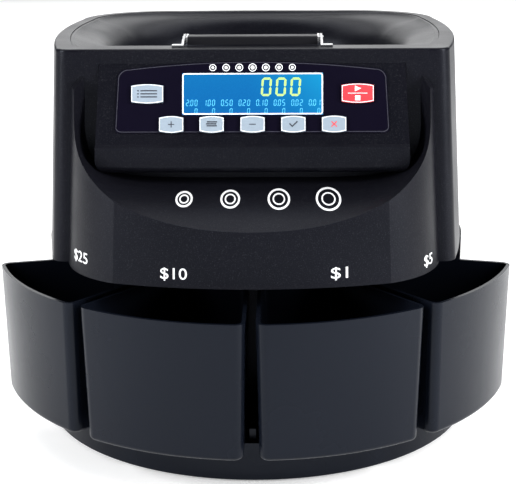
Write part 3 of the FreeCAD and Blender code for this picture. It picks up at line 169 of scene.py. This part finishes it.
def grained_plastic(name, dark, light, roughness, grain, depth, specular=0.5, sparkle=0.0, tint=None):
    """Moulded plastic: a fine spark-eroded grain, slow shifts of gloss, and lighter specks painted into the
    colour as the sparkle of the grain, that is painted glints.
    """
    surface = Surface(name, roughness, specular)
    fine = surface.noise(grain, 2.0)
    slow = surface.noise(TONE_SCALE, 2.0)
    colour = surface.blend(surface.spread(slow, 0.0, 1.0), dark, light)
    # Painted glints: lighter specks blended into the colour in place of light sparkling on the grain.
    if sparkle:
        sparkle_specks = surface.spread(surface.noise(grain * 1.7, 1.0), 0.0, sparkle, 0.58, 0.74)
        colour = surface.blend(sparkle_specks, colour, SPARKLE_TONE)
    if tint:
        surface.shader.inputs["Specular Tint"].default_value = (*tint, 1)
    surface.feed("Base Color", colour)
    gloss = surface.spread(surface.noise(GLOSS_SCALE), roughness * 0.88, roughness * 1.12)
    surface.feed("Roughness", gloss)
    surface.bumps(fine, GRAIN_STRENGTH, depth)
    return surface.material


def worked_metal(name, dark, light, roughness, direction, scale):
    """Metal with fine drawn or rolled lines along one direction and a mottled tone."""
    surface = Surface(name, roughness, metallic=1.0)
    lines = surface.noise(scale, 4.0, surface.stretched(direction))
    cloud = surface.noise(60.0, 4.0)
    surface.feed("Base Color", surface.blend(surface.spread(cloud, 0.0, 1.0), dark, light))
    surface.feed("Roughness", surface.spread(lines, roughness * 0.75, roughness * 1.3))
    surface.bumps(lines, 0.2, 0.00004)
    return surface.material


def printed(name, colour, faded, roughness=0.45, glow=0.0):
    """Screen-printed ink: an almost even film, a little thinner in places."""
    surface = Surface(name, roughness)
    thin = surface.spread(surface.noise(420.0, 2.0), 0.0, 1.0)
    tone = surface.blend(thin, colour, faded)
    surface.feed("Base Color", tone)
    if glow:
        surface.feed("Emission Color", tone)
        surface.shader.inputs["Emission Strength"].default_value = glow
    surface.bumps(surface.noise(900.0), 0.1, 0.00002)
    return surface.material


DISPLAY_GLOW = 0.93
DISPLAY_CELLS = 1400.0


def display_glass(low, high):
    """The lit blue display: brighter towards its top right corner, with a fine lattice of cells."""
    surface = Surface("display_lit", 0.18, 0.3)
    axes = surface.node("ShaderNodeSeparateXYZ", {"Vector": surface.place})
    across = surface.spread(axes.outputs["X"], 0.0, 0.6, low.x + 0.04, high.x)
    upward = surface.spread(axes.outputs["Z"], 0.0, 0.4, low.z, high.z)
    corner = surface.node("ShaderNodeMath", {0: across, 1: upward}, operation="ADD").outputs["Value"]
    lit = surface.node("ShaderNodeMath", {0: corner, 1: 2.0}, operation="POWER").outputs["Value"]
    lattice = surface.node("ShaderNodeTexVoronoi", {"Vector": surface.place, "Scale": DISPLAY_CELLS})
    cells = lattice.outputs["Distance"]
    ground = surface.blend(lit, (0.0035, 0.165, 0.52), (0.01, 0.42, 0.80))
    tone = surface.blend(surface.spread(cells, 0.0, 0.12), ground, (0.01, 0.25, 0.62))
    unlit = surface.blend(surface.spread(cells, 0.0, 1.0), (0.001, 0.008, 0.02), (0.001, 0.012, 0.03))
    surface.feed("Base Color", unlit)
    surface.feed("Emission Color", tone)
    surface.shader.inputs["Emission Strength"].default_value = DISPLAY_GLOW
    return surface.material


def circuit_board():
    """Green solder mask over a pattern of copper tracks."""
    surface = Surface("board_mask", 0.4)
    tracks = surface.node("ShaderNodeTexBrick", {"Vector": surface.place, "Scale": 90.0,
                                                 "Mortar Size": 0.06, "Color1": (0, 0, 0, 1),
                                                 "Color2": (0.15, 0.15, 0.15, 1), "Mortar": (1, 1, 1, 1)})
    surface.feed("Base Color", surface.blend(tracks.outputs["Color"], (0.01, 0.09, 0.03), (0.04, 0.22, 0.07)))
    surface.bumps(tracks.outputs["Fac"], 0.3, 0.0001)
    return surface.material


def striped(name, first, second, scale, roughness, direction):
    """Bands of two tones across one axis, as in a flat cable or a stack of laminations."""
    surface = Surface(name, roughness)
    wave = surface.node("ShaderNodeTexWave", {"Vector": surface.place, "Scale": scale,
                                              "Distortion": 0.4}, bands_direction=direction)
    band = surface.spread(wave.outputs["Fac"], 0.0, 1.0, 0.2, 0.8)
    surface.feed("Base Color", surface.blend(band, first, second))
    surface.bumps(wave.outputs["Fac"], 0.5, 0.0002)
    return surface.material


WINDOW_LOW, WINDOW_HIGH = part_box("display_window")

BLUISH = (0.80, 0.86, 1.0)
FINISH = {
    # The casing's colour carries painted glints, lighter specks that stand in for the sparkle of its grain.
    "casing": grained_plastic("casing_abs", (0.0026, 0.0026, 0.0044), (0.0042, 0.0042, 0.0066),
                              0.36, 1050.0, 0.00014, 0.10, 0.06, BLUISH),
    "cups": grained_plastic("cup_abs", (0.0028, 0.0038, 0.0068), (0.0036, 0.0048, 0.0084),
                            0.26, 1500.0, 0.00003, 0.14, 0.0, BLUISH),
    "overlay": grained_plastic("overlay_film", (0.0028, 0.0020, 0.0068), (0.0034, 0.0026, 0.0080),
                               0.30, 2200.0, 0.00002, 0.10, 0.0, BLUISH),
    "display": display_glass(WINDOW_LOW, WINDOW_HIGH),
    "key_light": grained_plastic("key_grey", (0.245, 0.300, 0.360), (0.275, 0.335, 0.400),
                                 0.38, 1400.0, 0.00003),
    "key_red": grained_plastic("key_red", (0.66, 0.030, 0.042), (0.74, 0.050, 0.062), 0.36, 1400.0, 0.00003),
    "black_plastic": grained_plastic("satin_black", (0.007, 0.007, 0.009), (0.012, 0.012, 0.015),
                                     0.48, 1300.0, 0.00005, 0.16),
    "steel": worked_metal("drawn_steel", (0.42, 0.42, 0.43), (0.56, 0.56, 0.57), 0.26, (6, 60, 60), 30.0),
    "zinc": worked_metal("zinc_plate", (0.48, 0.50, 0.52), (0.66, 0.67, 0.68), 0.34, (20, 20, 20), 18.0),
    "iron": striped("iron_laminations", (0.05, 0.05, 0.055), (0.14, 0.13, 0.12), 220.0, 0.5, "Z"),
    "rubber": grained_plastic("foot_rubber", (0.012, 0.012, 0.012), (0.022, 0.022, 0.022),
                              0.75, 1200.0, 0.0001),
    "acetal": grained_plastic("acetal_cream", (0.62, 0.59, 0.50), (0.70, 0.67, 0.59), 0.42, 600.0, 0.00004),
    "board": circuit_board(),
    "ribbon": striped("ribbon_cable", (0.30, 0.31, 0.33), (0.62, 0.63, 0.64), 250.0, 0.55, "X"),
}
# White print, and also the painted highlight ring round the edge of each key cap.
WHITE_PRINT_AND_PAINTED_HIGHLIGHT = printed("white_print_and_painted_highlight", (0.86, 0.87, 0.88), (0.74, 0.75, 0.77))
PRINT_DARK = printed("print_dark", (0.020, 0.024, 0.034), (0.045, 0.050, 0.065))
PRINT_RED = printed("print_red", (0.72, 0.05, 0.07), (0.62, 0.08, 0.09))
PRINT_BORDER = printed("print_border", (0.030, 0.030, 0.042), (0.022, 0.022, 0.032))
DIGITS_LARGE = printed("digits_yellow", (0.30, 0.48, 0.13), (0.26, 0.43, 0.12), 0.4, 0.9)
DIGITS_SMALL = printed("digits_cyan", (0.060, 0.36, 0.52), (0.045, 0.31, 0.48), 0.4, 0.85)


def finish_nodes():
    """Every CAD node takes the finish of the slot that it was packed with."""
    for node in frame["nodes"].values():
        for index, held in enumerate(node.data.materials):
            node.data.materials[index] = FINISH[held.name.split(".")[0]]


finish_nodes()

# ---- making pieces --------------------------------------------------------------------------------


def new_piece(name, mesh_data, material, body):
    """A finished piece that rides on a body."""
    mesh = bpy.data.meshes.new(name)
    mesh_data.to_mesh(mesh)
    mesh_data.free()
    piece = bpy.data.objects.new(name, mesh)
    bpy.context.scene.collection.objects.link(piece)
    mesh.materials.append(material)
    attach(piece, body)


def body_of(node):
    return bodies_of(frame["nodes"][node])[0]


class Face:
    """A flat face of a CAD node that looks to the front: its middle, its own axes and its size."""

    def __init__(self, node):
        mesh = frame["nodes"][node].data
        widest = max(mesh.polygons, key=lambda polygon: -polygon.normal.y * polygon.area)
        self.out = widest.normal.copy()
        self.up = self.out.cross(RIGHT).normalized()
        points = [vertex.co for vertex in mesh.vertices]
        level = max(point.dot(self.out) for point in points)
        top = [point for point in points if level - point.dot(self.out) < 0.00002]
        across = [point.x for point in top]
        along = [point.dot(self.up) for point in top]
        self.size = Vector((max(across) - min(across), max(along) - min(along)))
        self.middle = (RIGHT * ((max(across) + min(across)) / 2)
                       + self.up * ((max(along) + min(along)) / 2) + self.out * level)

    def at(self, point):
        """A point given across, up and out of the face."""
        return self.middle + RIGHT * point[0] + self.up * point[1] + self.out * point[2]


def add_slab(mesh_data, outline, bottom, top, at):
    """A closed flat plate with a simple outline; at carries its points into place."""
    low = [mesh_data.verts.new(at((x, y, bottom))) for x, y in outline]
    high = [mesh_data.verts.new(at((x, y, top))) for x, y in outline]
    count = len(outline)
    mesh_data.faces.new(high)
    mesh_data.faces.new(list(reversed(low)))
    for step in range(count):
        after = (step + 1) % count
        mesh_data.faces.new((low[step], low[after], high[after], high[step]))


def add_ring(mesh_data, outer, inner, bottom, top, at):
    """A closed flat ring between two outlines with the same number of points."""
    rows = [[mesh_data.verts.new(at((x, y, level))) for x, y in outline]
            for outline, level in ((outer, bottom), (outer, top), (inner, top), (inner, bottom))]
    count = len(outer)
    for step in range(count):
        after = (step + 1) % count
        for row, following in zip(rows, rows[1:] + rows[:1]):
            mesh_data.faces.new((row[step], row[after], following[after], following[step]))


CORNER_STEPS = 5


def rounded_box(width, height, radius):
    points = []
    for turn, (side, end) in enumerate(((1, 1), (-1, 1), (-1, -1), (1, -1))):
        for step in range(CORNER_STEPS + 1):
            angle = math.pi / 2 * (turn + step / CORNER_STEPS)
            points.append((side * (width / 2 - radius) + radius * math.cos(angle),
                           end * (height / 2 - radius) + radius * math.sin(angle)))
    return points


def circle_points(radius, x=0.0, y=0.0, steps=40):
    return [(x + radius * math.cos(2 * math.pi * step / steps),
             y + radius * math.sin(2 * math.pi * step / steps)) for step in range(steps)]


LETTER_WEIGHT = 0.004


def letters(text, width, height):
    """Solid lettering of a given width and height, centred on its own middle."""
    curve = bpy.data.curves.new("letters", "FONT")
    curve.body = text
    curve.size = 1.0
    curve.extrude = 0.5
    curve.offset = LETTER_WEIGHT
    curve.resolution_u = 4
    holder = bpy.data.objects.new("letters", curve)
    bpy.context.scene.collection.objects.link(holder)
    bpy.context.view_layer.update()
    flat = bpy.data.meshes.new_from_object(holder.evaluated_get(bpy.context.evaluated_depsgraph_get()))
    bpy.data.objects.remove(holder)
    made = bmesh.new()
    made.from_mesh(flat)
    bpy.data.meshes.remove(flat)
    bmesh.ops.remove_doubles(made, verts=made.verts, dist=0.0005)
    across = [vertex.co.x for vertex in made.verts]
    along = [vertex.co.y for vertex in made.verts]
    middle = Vector(((max(across) + min(across)) / 2, (max(along) + min(along)) / 2, 0))
    wide = width / (max(across) - min(across))
    tall = height / (max(along) - min(along))
    for vertex in made.verts:
        moved = vertex.co - middle
        vertex.co = Vector((moved.x * wide, moved.y * tall, math.copysign(1.0, vertex.co.z)))
    return made


def sliced(mesh_data, pitch):
    """Cut a flat mesh into narrow strips, so that it can follow a curved wall."""
    across = [vertex.co.x for vertex in mesh_data.verts]
    level = min(across) + pitch
    while level < max(across):
        everything = list(mesh_data.verts) + list(mesh_data.edges) + list(mesh_data.faces)
        bmesh.ops.bisect_plane(mesh_data, geom=everything, plane_co=(level, 0, 0), plane_no=(1, 0, 0))
        level += pitch
    return mesh_data


# ---- printing on the panel and its keys, and painted highlights round the key caps ----------------

INK = 0.06 * MM
BARREL_STEPS = 14


def barrel_outline(width, height, bulge):
    """A key's outline: straight sides, with the top and bottom bowed outwards by bulge."""
    points = []
    for end in (1, -1):
        for step in range(BARREL_STEPS + 1):
            share = 1 - 2 * step / BARREL_STEPS
            x = share * width / 2 * end
            points.append((x, end * (height / 2 - bulge * share * share)))
    return points


def bar_outline(width, height, x=0.0, y=0.0):
    return [(x - width / 2, y - height / 2), (x + width / 2, y - height / 2),
            (x + width / 2, y + height / 2), (x - width / 2, y + height / 2)]


def cross_outline(reach, thick, turn=0.0):
    """A plus sign, or a diagonal cross when it is turned."""
    half = thick / 2
    quarter = [(half, half), (half, reach), (-half, reach)]
    points = []
    for step in range(4):
        angle = turn + math.pi / 2 * step
        cosine, sine = math.cos(angle), math.sin(angle)
        points += [(x * cosine - y * sine, x * sine + y * cosine) for x, y in quarter]
    return points


LIST_MARK = [bar_outline(width, 0.75, x, y)
             for y in (1.9, 0.0, -1.9) for width, x in ((1.0, -5.6), (10.2, 1.0))]
STACK_MARK = [bar_outline(6.2, 0.8, shift, y) for shift, y in ((0.3, 1.5), (-0.2, 0.3), (0.1, -0.9))]
TICK_MARK = [[(-2.7, 0.1), (-0.7, -1.9), (2.8, 1.4), (2.2, 2.0), (-0.7, -0.8), (-2.1, 0.7)]]
START_MARK = [(-1.7, 1.2), (2.1, 2.9), (-1.7, 4.6)]
KEY_MARKS = {   # ink and outlines, in millimetres from the middle of the key cap
    "report_key": (PRINT_DARK, LIST_MARK),
    "start_stop_key": (WHITE_PRINT_AND_PAINTED_HIGHLIGHT, [START_MARK, bar_outline(11.8, 0.4), bar_outline(3.2, 3.0, 0.0, -2.9)]),
    "plus_key": (PRINT_DARK, [cross_outline(1.9, 0.6)]),
    "batch_key": (PRINT_DARK, STACK_MARK),
    "minus_key": (PRINT_DARK, [bar_outline(4.0, 0.6)]),
    "set_key": (PRINT_DARK, TICK_MARK),
    "clear_key": (PRINT_RED, [cross_outline(2.3, 0.7, math.pi / 4)]),
}
KEY_BULGE = 1.1 * MM
# The painted highlight ring round a key cap runs from KEY_MARGIN in to this inset from the cap's edge.
KEY_HIGHLIGHT_INSET = 0.55 * MM
KEY_MARGIN = 0.1 * MM


def print_keys_and_paint_edge_highlights():
    """A painted highlight round each key cap, a thin white ring in place of the light on the cap's rounded
    edge, and a generic printed sign on each key cap.
    """
    for node, (ink, outlines) in KEY_MARKS.items():
        face = Face(node)
        body = body_of(node)
        outer = barrel_outline(face.size.x - 2 * KEY_MARGIN, face.size.y - 2 * KEY_MARGIN, KEY_BULGE)
        inner = barrel_outline(face.size.x - 2 * KEY_HIGHLIGHT_INSET, face.size.y - 2 * KEY_HIGHLIGHT_INSET, KEY_BULGE)
        # The white ring is painted highlight: it stands in for the light caught by the key cap's rounded
        # edge.
        border = bmesh.new()
        add_ring(border, outer, inner, -INK, INK, face.at)
        new_piece(node + "_border", border, WHITE_PRINT_AND_PAINTED_HIGHLIGHT, body)
        sign = bmesh.new()
        for outline in outlines:
            add_slab(sign, [(x * MM, y * MM) for x, y in outline], -INK, INK, face.at)
        new_piece(node + "_sign", sign, ink, body)


DIGIT_SEGMENTS = {"0": "abcdef", "1": "bc", "2": "abged", "5": "afgcd"}
DIGIT_SLANT = 0.07


def segment_outlines(character, width, height, thick, gap):
    """The lit bars of one seven-segment digit, as six-sided outlines from its lower left corner."""
    half = thick / 2
    middle = height / 2
    bars = {
        "a": ((half, height - half), (width - half, height - half)),
        "g": ((half, middle), (width - half, middle)),
        "d": ((half, half), (width - half, half)),
        "f": ((half, middle), (half, height - half)),
        "b": ((width - half, middle), (width - half, height - half)),
        "e": ((half, half), (half, middle)),
        "c": ((width - half, half), (width - half, middle)),
    }
    outlines = []
    for letter in DIGIT_SEGMENTS[character]:
        (x0, y0), (x1, y1) = bars[letter]
        if y0 == y1:
            x0, x1 = x0 + gap, x1 - gap
            outline = [(x0, y0), (x0 + half, y0 - half), (x1 - half, y0 - half), (x1, y0),
                       (x1 - half, y0 + half), (x0 + half, y0 + half)]
        else:
            y0, y1 = y0 + gap, y1 - gap
            outline = [(x0, y0), (x0 + half, y0 + half), (x0 + half, y1 - half), (x0, y1),
                       (x0 - half, y1 - half), (x0 - half, y0 + half)]
        outlines.append([(x + DIGIT_SLANT * y, y) for x, y in outline])
    return outlines


LARGE_DIGITS = ((5.3, 14.2, 23.1), -1.5, (6.3, 11.4, 1.35, 0.12))      # left edges, level, digit sizes
SMALL_GROUPS = ("200", "100", "050", "020", "010", "005", "002", "001")
SMALL_START = -40.4
SMALL_PITCH = 10.72
SMALL_LEVEL = -7.45
SMALL_DIGIT = (1.75, 3.9, 0.42, 0.05)
SMALL_STEP = 2.62
COUNT_LEVEL = -12.35
COUNT_DIGIT = (1.75, 3.5, 0.42, 0.05)
COUNT_SHIFT = 5.2
DIGIT_SHIFT = 0.4          # every digit and point is moved left by this much
POINT_OFFSET = 0.82        # from a group's second digit back to its decimal point
POINT_SIZE = 0.4
DISPLAY_MARGIN = 1         # no digit comes closer than this to the display's right edge
DISPLAY_EDGE = 0.8 * MM
DISPLAY_OUTER_CORNER = 1.5 * MM
DISPLAY_INNER_CORNER = 0.9 * MM
DIGIT_FILM = 0.05 * MM


def print_display():
    """The white edge line, the large total, and the rows of values and counts on the display."""
    face = Face("display_window")
    body = body_of("display_window")
    edge = bmesh.new()
    outer = rounded_box(face.size.x, face.size.y, DISPLAY_OUTER_CORNER)
    inner = rounded_box(face.size.x - 2 * DISPLAY_EDGE, face.size.y - 2 * DISPLAY_EDGE,
                        DISPLAY_INNER_CORNER)
    add_ring(edge, outer, inner, -INK, 2 * INK, face.at)
    new_piece("display_edge", edge, WHITE_PRINT_AND_PAINTED_HIGHLIGHT, body)

    def add_digit(mesh_data, character, left, level, sizes):
        for outline in segment_outlines(character, *sizes):
            placed = [((left + x) * MM, (level + y) * MM) for x, y in outline]
            add_slab(mesh_data, placed, -DIGIT_FILM, DIGIT_FILM, face.at)

    def fits(left, sizes):
        return left + sizes[0] < face.size.x / 2 / MM - DISPLAY_MARGIN

    total = bmesh.new()
    lefts, level, sizes = LARGE_DIGITS
    for left in lefts:
        add_digit(total, "0", left - DIGIT_SHIFT, level, sizes)
    new_piece("display_total", total, DIGITS_LARGE, body)

    rows = bmesh.new()
    for index, group in enumerate(SMALL_GROUPS):
        start = SMALL_START + index * SMALL_PITCH
        for place, character in enumerate(group):
            left = start + place * SMALL_STEP - DIGIT_SHIFT
            if fits(left, SMALL_DIGIT):
                add_digit(rows, character, left, SMALL_LEVEL, SMALL_DIGIT)
        point = [((start + SMALL_STEP - POINT_OFFSET + x) * MM, (SMALL_LEVEL + y) * MM)
                 for x, y in ((0, 0), (POINT_SIZE, 0), (POINT_SIZE, POINT_SIZE), (0, POINT_SIZE))]
        add_slab(rows, point, -DIGIT_FILM, DIGIT_FILM, face.at)
        left = start + COUNT_SHIFT - DIGIT_SHIFT
        if fits(left, COUNT_DIGIT):
            add_digit(rows, "0", left, COUNT_LEVEL, COUNT_DIGIT)
    new_piece("display_values", rows, DIGITS_SMALL, body)


OVERLAY_ARCH = 22.8
OVERLAY_FOOT = ((81.0, -21.2), (83.1, -20.3), (84.0, -18.2))       # the lower right corner, as an arc
OVERLAY_SHOULDER = ((82.4, 11.0), (80.9, 16.0), (75.5, 18.3))      # the upper right corner, as an arc
OVERLAY_SIDE_LEAN = 1.6
OVERLAY_SIDE_RISE = 29.2
OVERLAY_SIDE_STEPS = 8
SHOULDER_INSET = 0.6       # the share of an inset that a shoulder point takes across its main direction
DISPLAY_CENTRE = 2.8 * MM
TITLE_COINS = tuple((0.4 + 8.1 * step, 2.5 - 0.12 * abs(step)) for step in range(-3, 4))
TITLE_LEVEL = 18.9
TITLE_LINE = 0.5
TITLE_DOT_STEPS = 24
BORDER_OUTER_INSET = 0.5
BORDER_INNER_INSET = 0.95


def arc_through(first, middle, last, steps):
    """Points on the arc through three points, the last one left out."""
    ax, ay = first
    bx, by = middle
    cx, cy = last
    d = 2 * (ax * (by - cy) + bx * (cy - ay) + cx * (ay - by))
    ux = ((ax * ax + ay * ay) * (by - cy) + (bx * bx + by * by) * (cy - ay)
          + (cx * cx + cy * cy) * (ay - by)) / d
    uy = ((ax * ax + ay * ay) * (cx - bx) + (bx * bx + by * by) * (ax - cx)
          + (cx * cx + cy * cy) * (bx - ax)) / d
    radius = math.hypot(ax - ux, ay - uy)
    start = math.atan2(ay - uy, ax - ux)
    end = math.atan2(cy - uy, cx - ux)
    through = math.atan2(by - uy, bx - ux)
    full = 2 * math.pi
    sweep = (end - start) % full
    if (through - start) % full > sweep:
        sweep -= full
    return [(ux + radius * math.cos(start + sweep * step / steps),
             uy + radius * math.sin(start + sweep * step / steps)) for step in range(steps)]


def overlay_outline(inset):
    """The arched outline of the printed sheet, drawn in by inset, in millimetres on the panel."""
    (foot_x, foot_y), (heel_x, heel_y), (side_x, side_y) = OVERLAY_FOOT
    (lean_x, lean_y), (bend_x, bend_y), (top_x, top_y) = OVERLAY_SHOULDER
    i = inset
    share = i * SHOULDER_INSET
    right = arc_through((foot_x - i, foot_y + i), (heel_x - i, heel_y + i), (side_x - i, side_y), 6)
    right += [(side_x - i - (OVERLAY_SIDE_LEAN * step / OVERLAY_SIDE_STEPS),
               side_y + OVERLAY_SIDE_RISE * step / OVERLAY_SIDE_STEPS)
              for step in range(OVERLAY_SIDE_STEPS)]
    right += arc_through((lean_x - i, lean_y), (bend_x - i, bend_y - share), (top_x - share, top_y - i), 8)
    top = arc_through((top_x - share, top_y - i), (0, OVERLAY_ARCH - i), (-top_x + share, top_y - i), 30)
    left = [(-x, y) for x, y in reversed(right)]
    return right + top + [(-top_x + share, top_y - i)] + left


def print_overlay():
    """A thin lighter border round the printed sheet, and a row of coin marks above the display."""
    window = Face("display_window")
    panel = Face("panel_overlay")
    origin = window.middle - RIGHT * window.middle.x - window.up * DISPLAY_CENTRE
    level = panel.middle.dot(panel.out) - origin.dot(panel.out)

    def at(point):
        return origin + RIGHT * point[0] + window.up * point[1] + window.out * (point[2] + level)

    body = body_of("panel_overlay")
    border = bmesh.new()
    outer = [(x * MM, y * MM) for x, y in overlay_outline(BORDER_OUTER_INSET)]
    inner = [(x * MM, y * MM) for x, y in overlay_outline(BORDER_INNER_INSET)]
    add_ring(border, outer, inner, -INK, INK, at)
    new_piece("overlay_border", border, PRINT_BORDER, body)
    marks = bmesh.new()
    for x, radius in TITLE_COINS:
        outer = circle_points(radius * MM, x * MM, TITLE_LEVEL * MM)
        inner = circle_points((radius - TITLE_LINE) * MM, x * MM, TITLE_LEVEL * MM)
        add_ring(marks, outer, inner, -INK, INK, at)
        dot = circle_points((radius - 2.5 * TITLE_LINE) * MM, x * MM, TITLE_LEVEL * MM,
                            TITLE_DOT_STEPS)
        add_slab(marks, dot, -INK, INK, at)
    new_piece("overlay_coin_marks", marks, WHITE_PRINT_AND_PAINTED_HIGHLIGHT, body)


print_keys_and_paint_edge_highlights()
print_display()
print_overlay()

# ---- printing on the curved casing ----------------------------------------------------------------

CHIN_LETTER = 8.0 * MM
CHIN_STRIP = 1.2 * MM
LABELS = (   # name, text, width, anchor on the wall, direction the wall faces in plan
    ("value_25", "$25", 0.0175, (-0.1063, -0.1063, 0.1367), (-0.79, -0.61)),
    ("value_10", "$10", 0.0164, (-0.0463, -0.1350, 0.1341), (-0.17, -0.985)),
    ("value_1", "$1", 0.0104, (0.0525, -0.1338, 0.1343), (0.19, -0.98)),
    ("value_5", "$5", 0.0112, (0.1085, -0.1030, 0.1335), (0.82, -0.57)),
)
INK_LIFT = 0.10 * MM
INK_SINK = 0.30 * MM
CAST_START = 0.03
SIGN_COINS = (   # across, radius, in metres on a sheet held square to the view
    (-0.0440, 0.0052), (-0.0160, 0.0060), (0.0135, 0.0068), (0.0435, 0.0076),
)
SIGN_MIDDLE = Vector((0.0029, -0.1078, 0.1737))
SIGN_LINE = 0.0012
SIGN_INNER = 0.56          # the inner ring's radius, as a share of the outer one's
SIGN_INNER_LINE = 0.7      # and the width of its line, likewise
SIGN_STEPS = 64


def shell_tree():
    mesh = frame["nodes"]["body_shell"].data
    points = [vertex.co.copy() for vertex in mesh.vertices]
    return BVHTree.FromPolygons(points, [list(polygon.vertices) for polygon in mesh.polygons])


def wrap(mesh_data, tree, anchor, across, upward, inward):
    """Carry a flat mesh onto the casing: each point is cast along inward from in front of the wall."""
    for vertex in mesh_data.verts:
        outer = vertex.co.z > 0
        start = anchor + across * vertex.co.x + upward * vertex.co.y - inward * CAST_START
        hit, normal, _, _ = tree.ray_cast(start, inward)
        if hit is None:
            hit, normal = anchor, -inward
        if normal.dot(inward) > 0:
            normal = -normal
        vertex.co = hit + normal * (INK_LIFT if outer else -INK_SINK)


def print_casing():
    """The value over each cup, and a generic row of coins of rising size below the control panel."""
    tree = shell_tree()
    for name, text, width, anchor, facing in LABELS:
        out = Vector((*facing, 0)).normalized()
        across = Vector((0, 0, 1)).cross(out)
        made = sliced(letters(text, width, CHIN_LETTER), CHIN_STRIP)
        wrap(made, tree, Vector(anchor), across, Vector((0, 0, 1)), -out)
        new_piece(name, made, WHITE_PRINT_AND_PAINTED_HIGHLIGHT, "machine")
    sign = bmesh.new()

    def flat(point):
        return Vector(point)

    for across, radius in SIGN_COINS:
        for edge, line in ((radius, SIGN_LINE), (radius * SIGN_INNER, SIGN_LINE * SIGN_INNER_LINE)):
            outer = circle_points(edge, across, 0, SIGN_STEPS)
            inner = circle_points(edge - line, across, 0, SIGN_STEPS)
            add_ring(sign, outer, inner, -1, 1, flat)
    wrap(sign, tree, SIGN_MIDDLE, RIGHT, VIEW_UP, VIEW_FORWARD)
    new_piece("coin_row_sign", sign, WHITE_PRINT_AND_PAINTED_HIGHLIGHT, "machine")


print_casing()

# ---- stage ----------------------------------------------------------------------------------------

FLOOR_HALF = 8.0
FLOOR_GLOW = 0.31


def make_floor():
    """A plain pale sheet that the machine stands on."""
    made = bmesh.new()
    bmesh.ops.create_grid(made, x_segments=4, y_segments=4, size=FLOOR_HALF)
    mesh = bpy.data.meshes.new("floor")
    made.to_mesh(mesh)
    made.free()
    floor = bpy.data.objects.new("floor", mesh)
    bpy.context.scene.collection.objects.link(floor)
    surface = Surface("floor_pale", 0.85, 0.1)
    tone = surface.blend(surface.noise(3.0), (0.90, 0.90, 0.90), (0.93, 0.93, 0.93))
    surface.feed("Base Color", tone)
    surface.feed("Emission Color", tone)
    surface.shader.inputs["Emission Strength"].default_value = FLOOR_GLOW
    mesh.materials.append(surface.material)


LIGHTS = (   # name, place, aimed at, width, height, watts
    ("sky_panel", (0.0, 1.0, 2.3), (0, 0.5, 0), 3.2, 2.2, 66.0),
    ("back_panel", (0.0, 3.0, 1.1), (0, 0, 0.2), 2.6, 1.6, 22.0),
    ("left_panel", (-1.15, -0.62, 0.62), (-0.40, -0.25, 0), 0.35, 0.9, 24.0),
    ("right_panel", (1.15, -0.60, 0.62), (0.40, -0.25, 0), 0.35, 0.9, 30.0),
)
WORLD_TONE = (0.85, 0.92, 1.0)
WORLD_STRENGTH = 0.15


def make_lights():
    for name, place, target, width, height, watts in LIGHTS:
        data = bpy.data.lights.new(name, "AREA")
        data.shape = "RECTANGLE"
        data.size = width
        data.size_y = height
        data.energy = watts
        light = bpy.data.objects.new(name, data)
        light.location = place
        light.rotation_euler = (Vector(target) - Vector(place)).to_track_quat("-Z", "Y").to_euler()
        bpy.context.scene.collection.objects.link(light)
    world = bpy.data.worlds.new("studio")
    world.use_nodes = True
    backdrop = world.node_tree.nodes["Background"]
    backdrop.inputs["Color"].default_value = (*WORLD_TONE, 1)
    backdrop.inputs["Strength"].default_value = WORLD_STRENGTH
    bpy.context.scene.world = world


make_floor()
make_lights()
bpy.context.scene.view_settings.view_transform = "Standard"
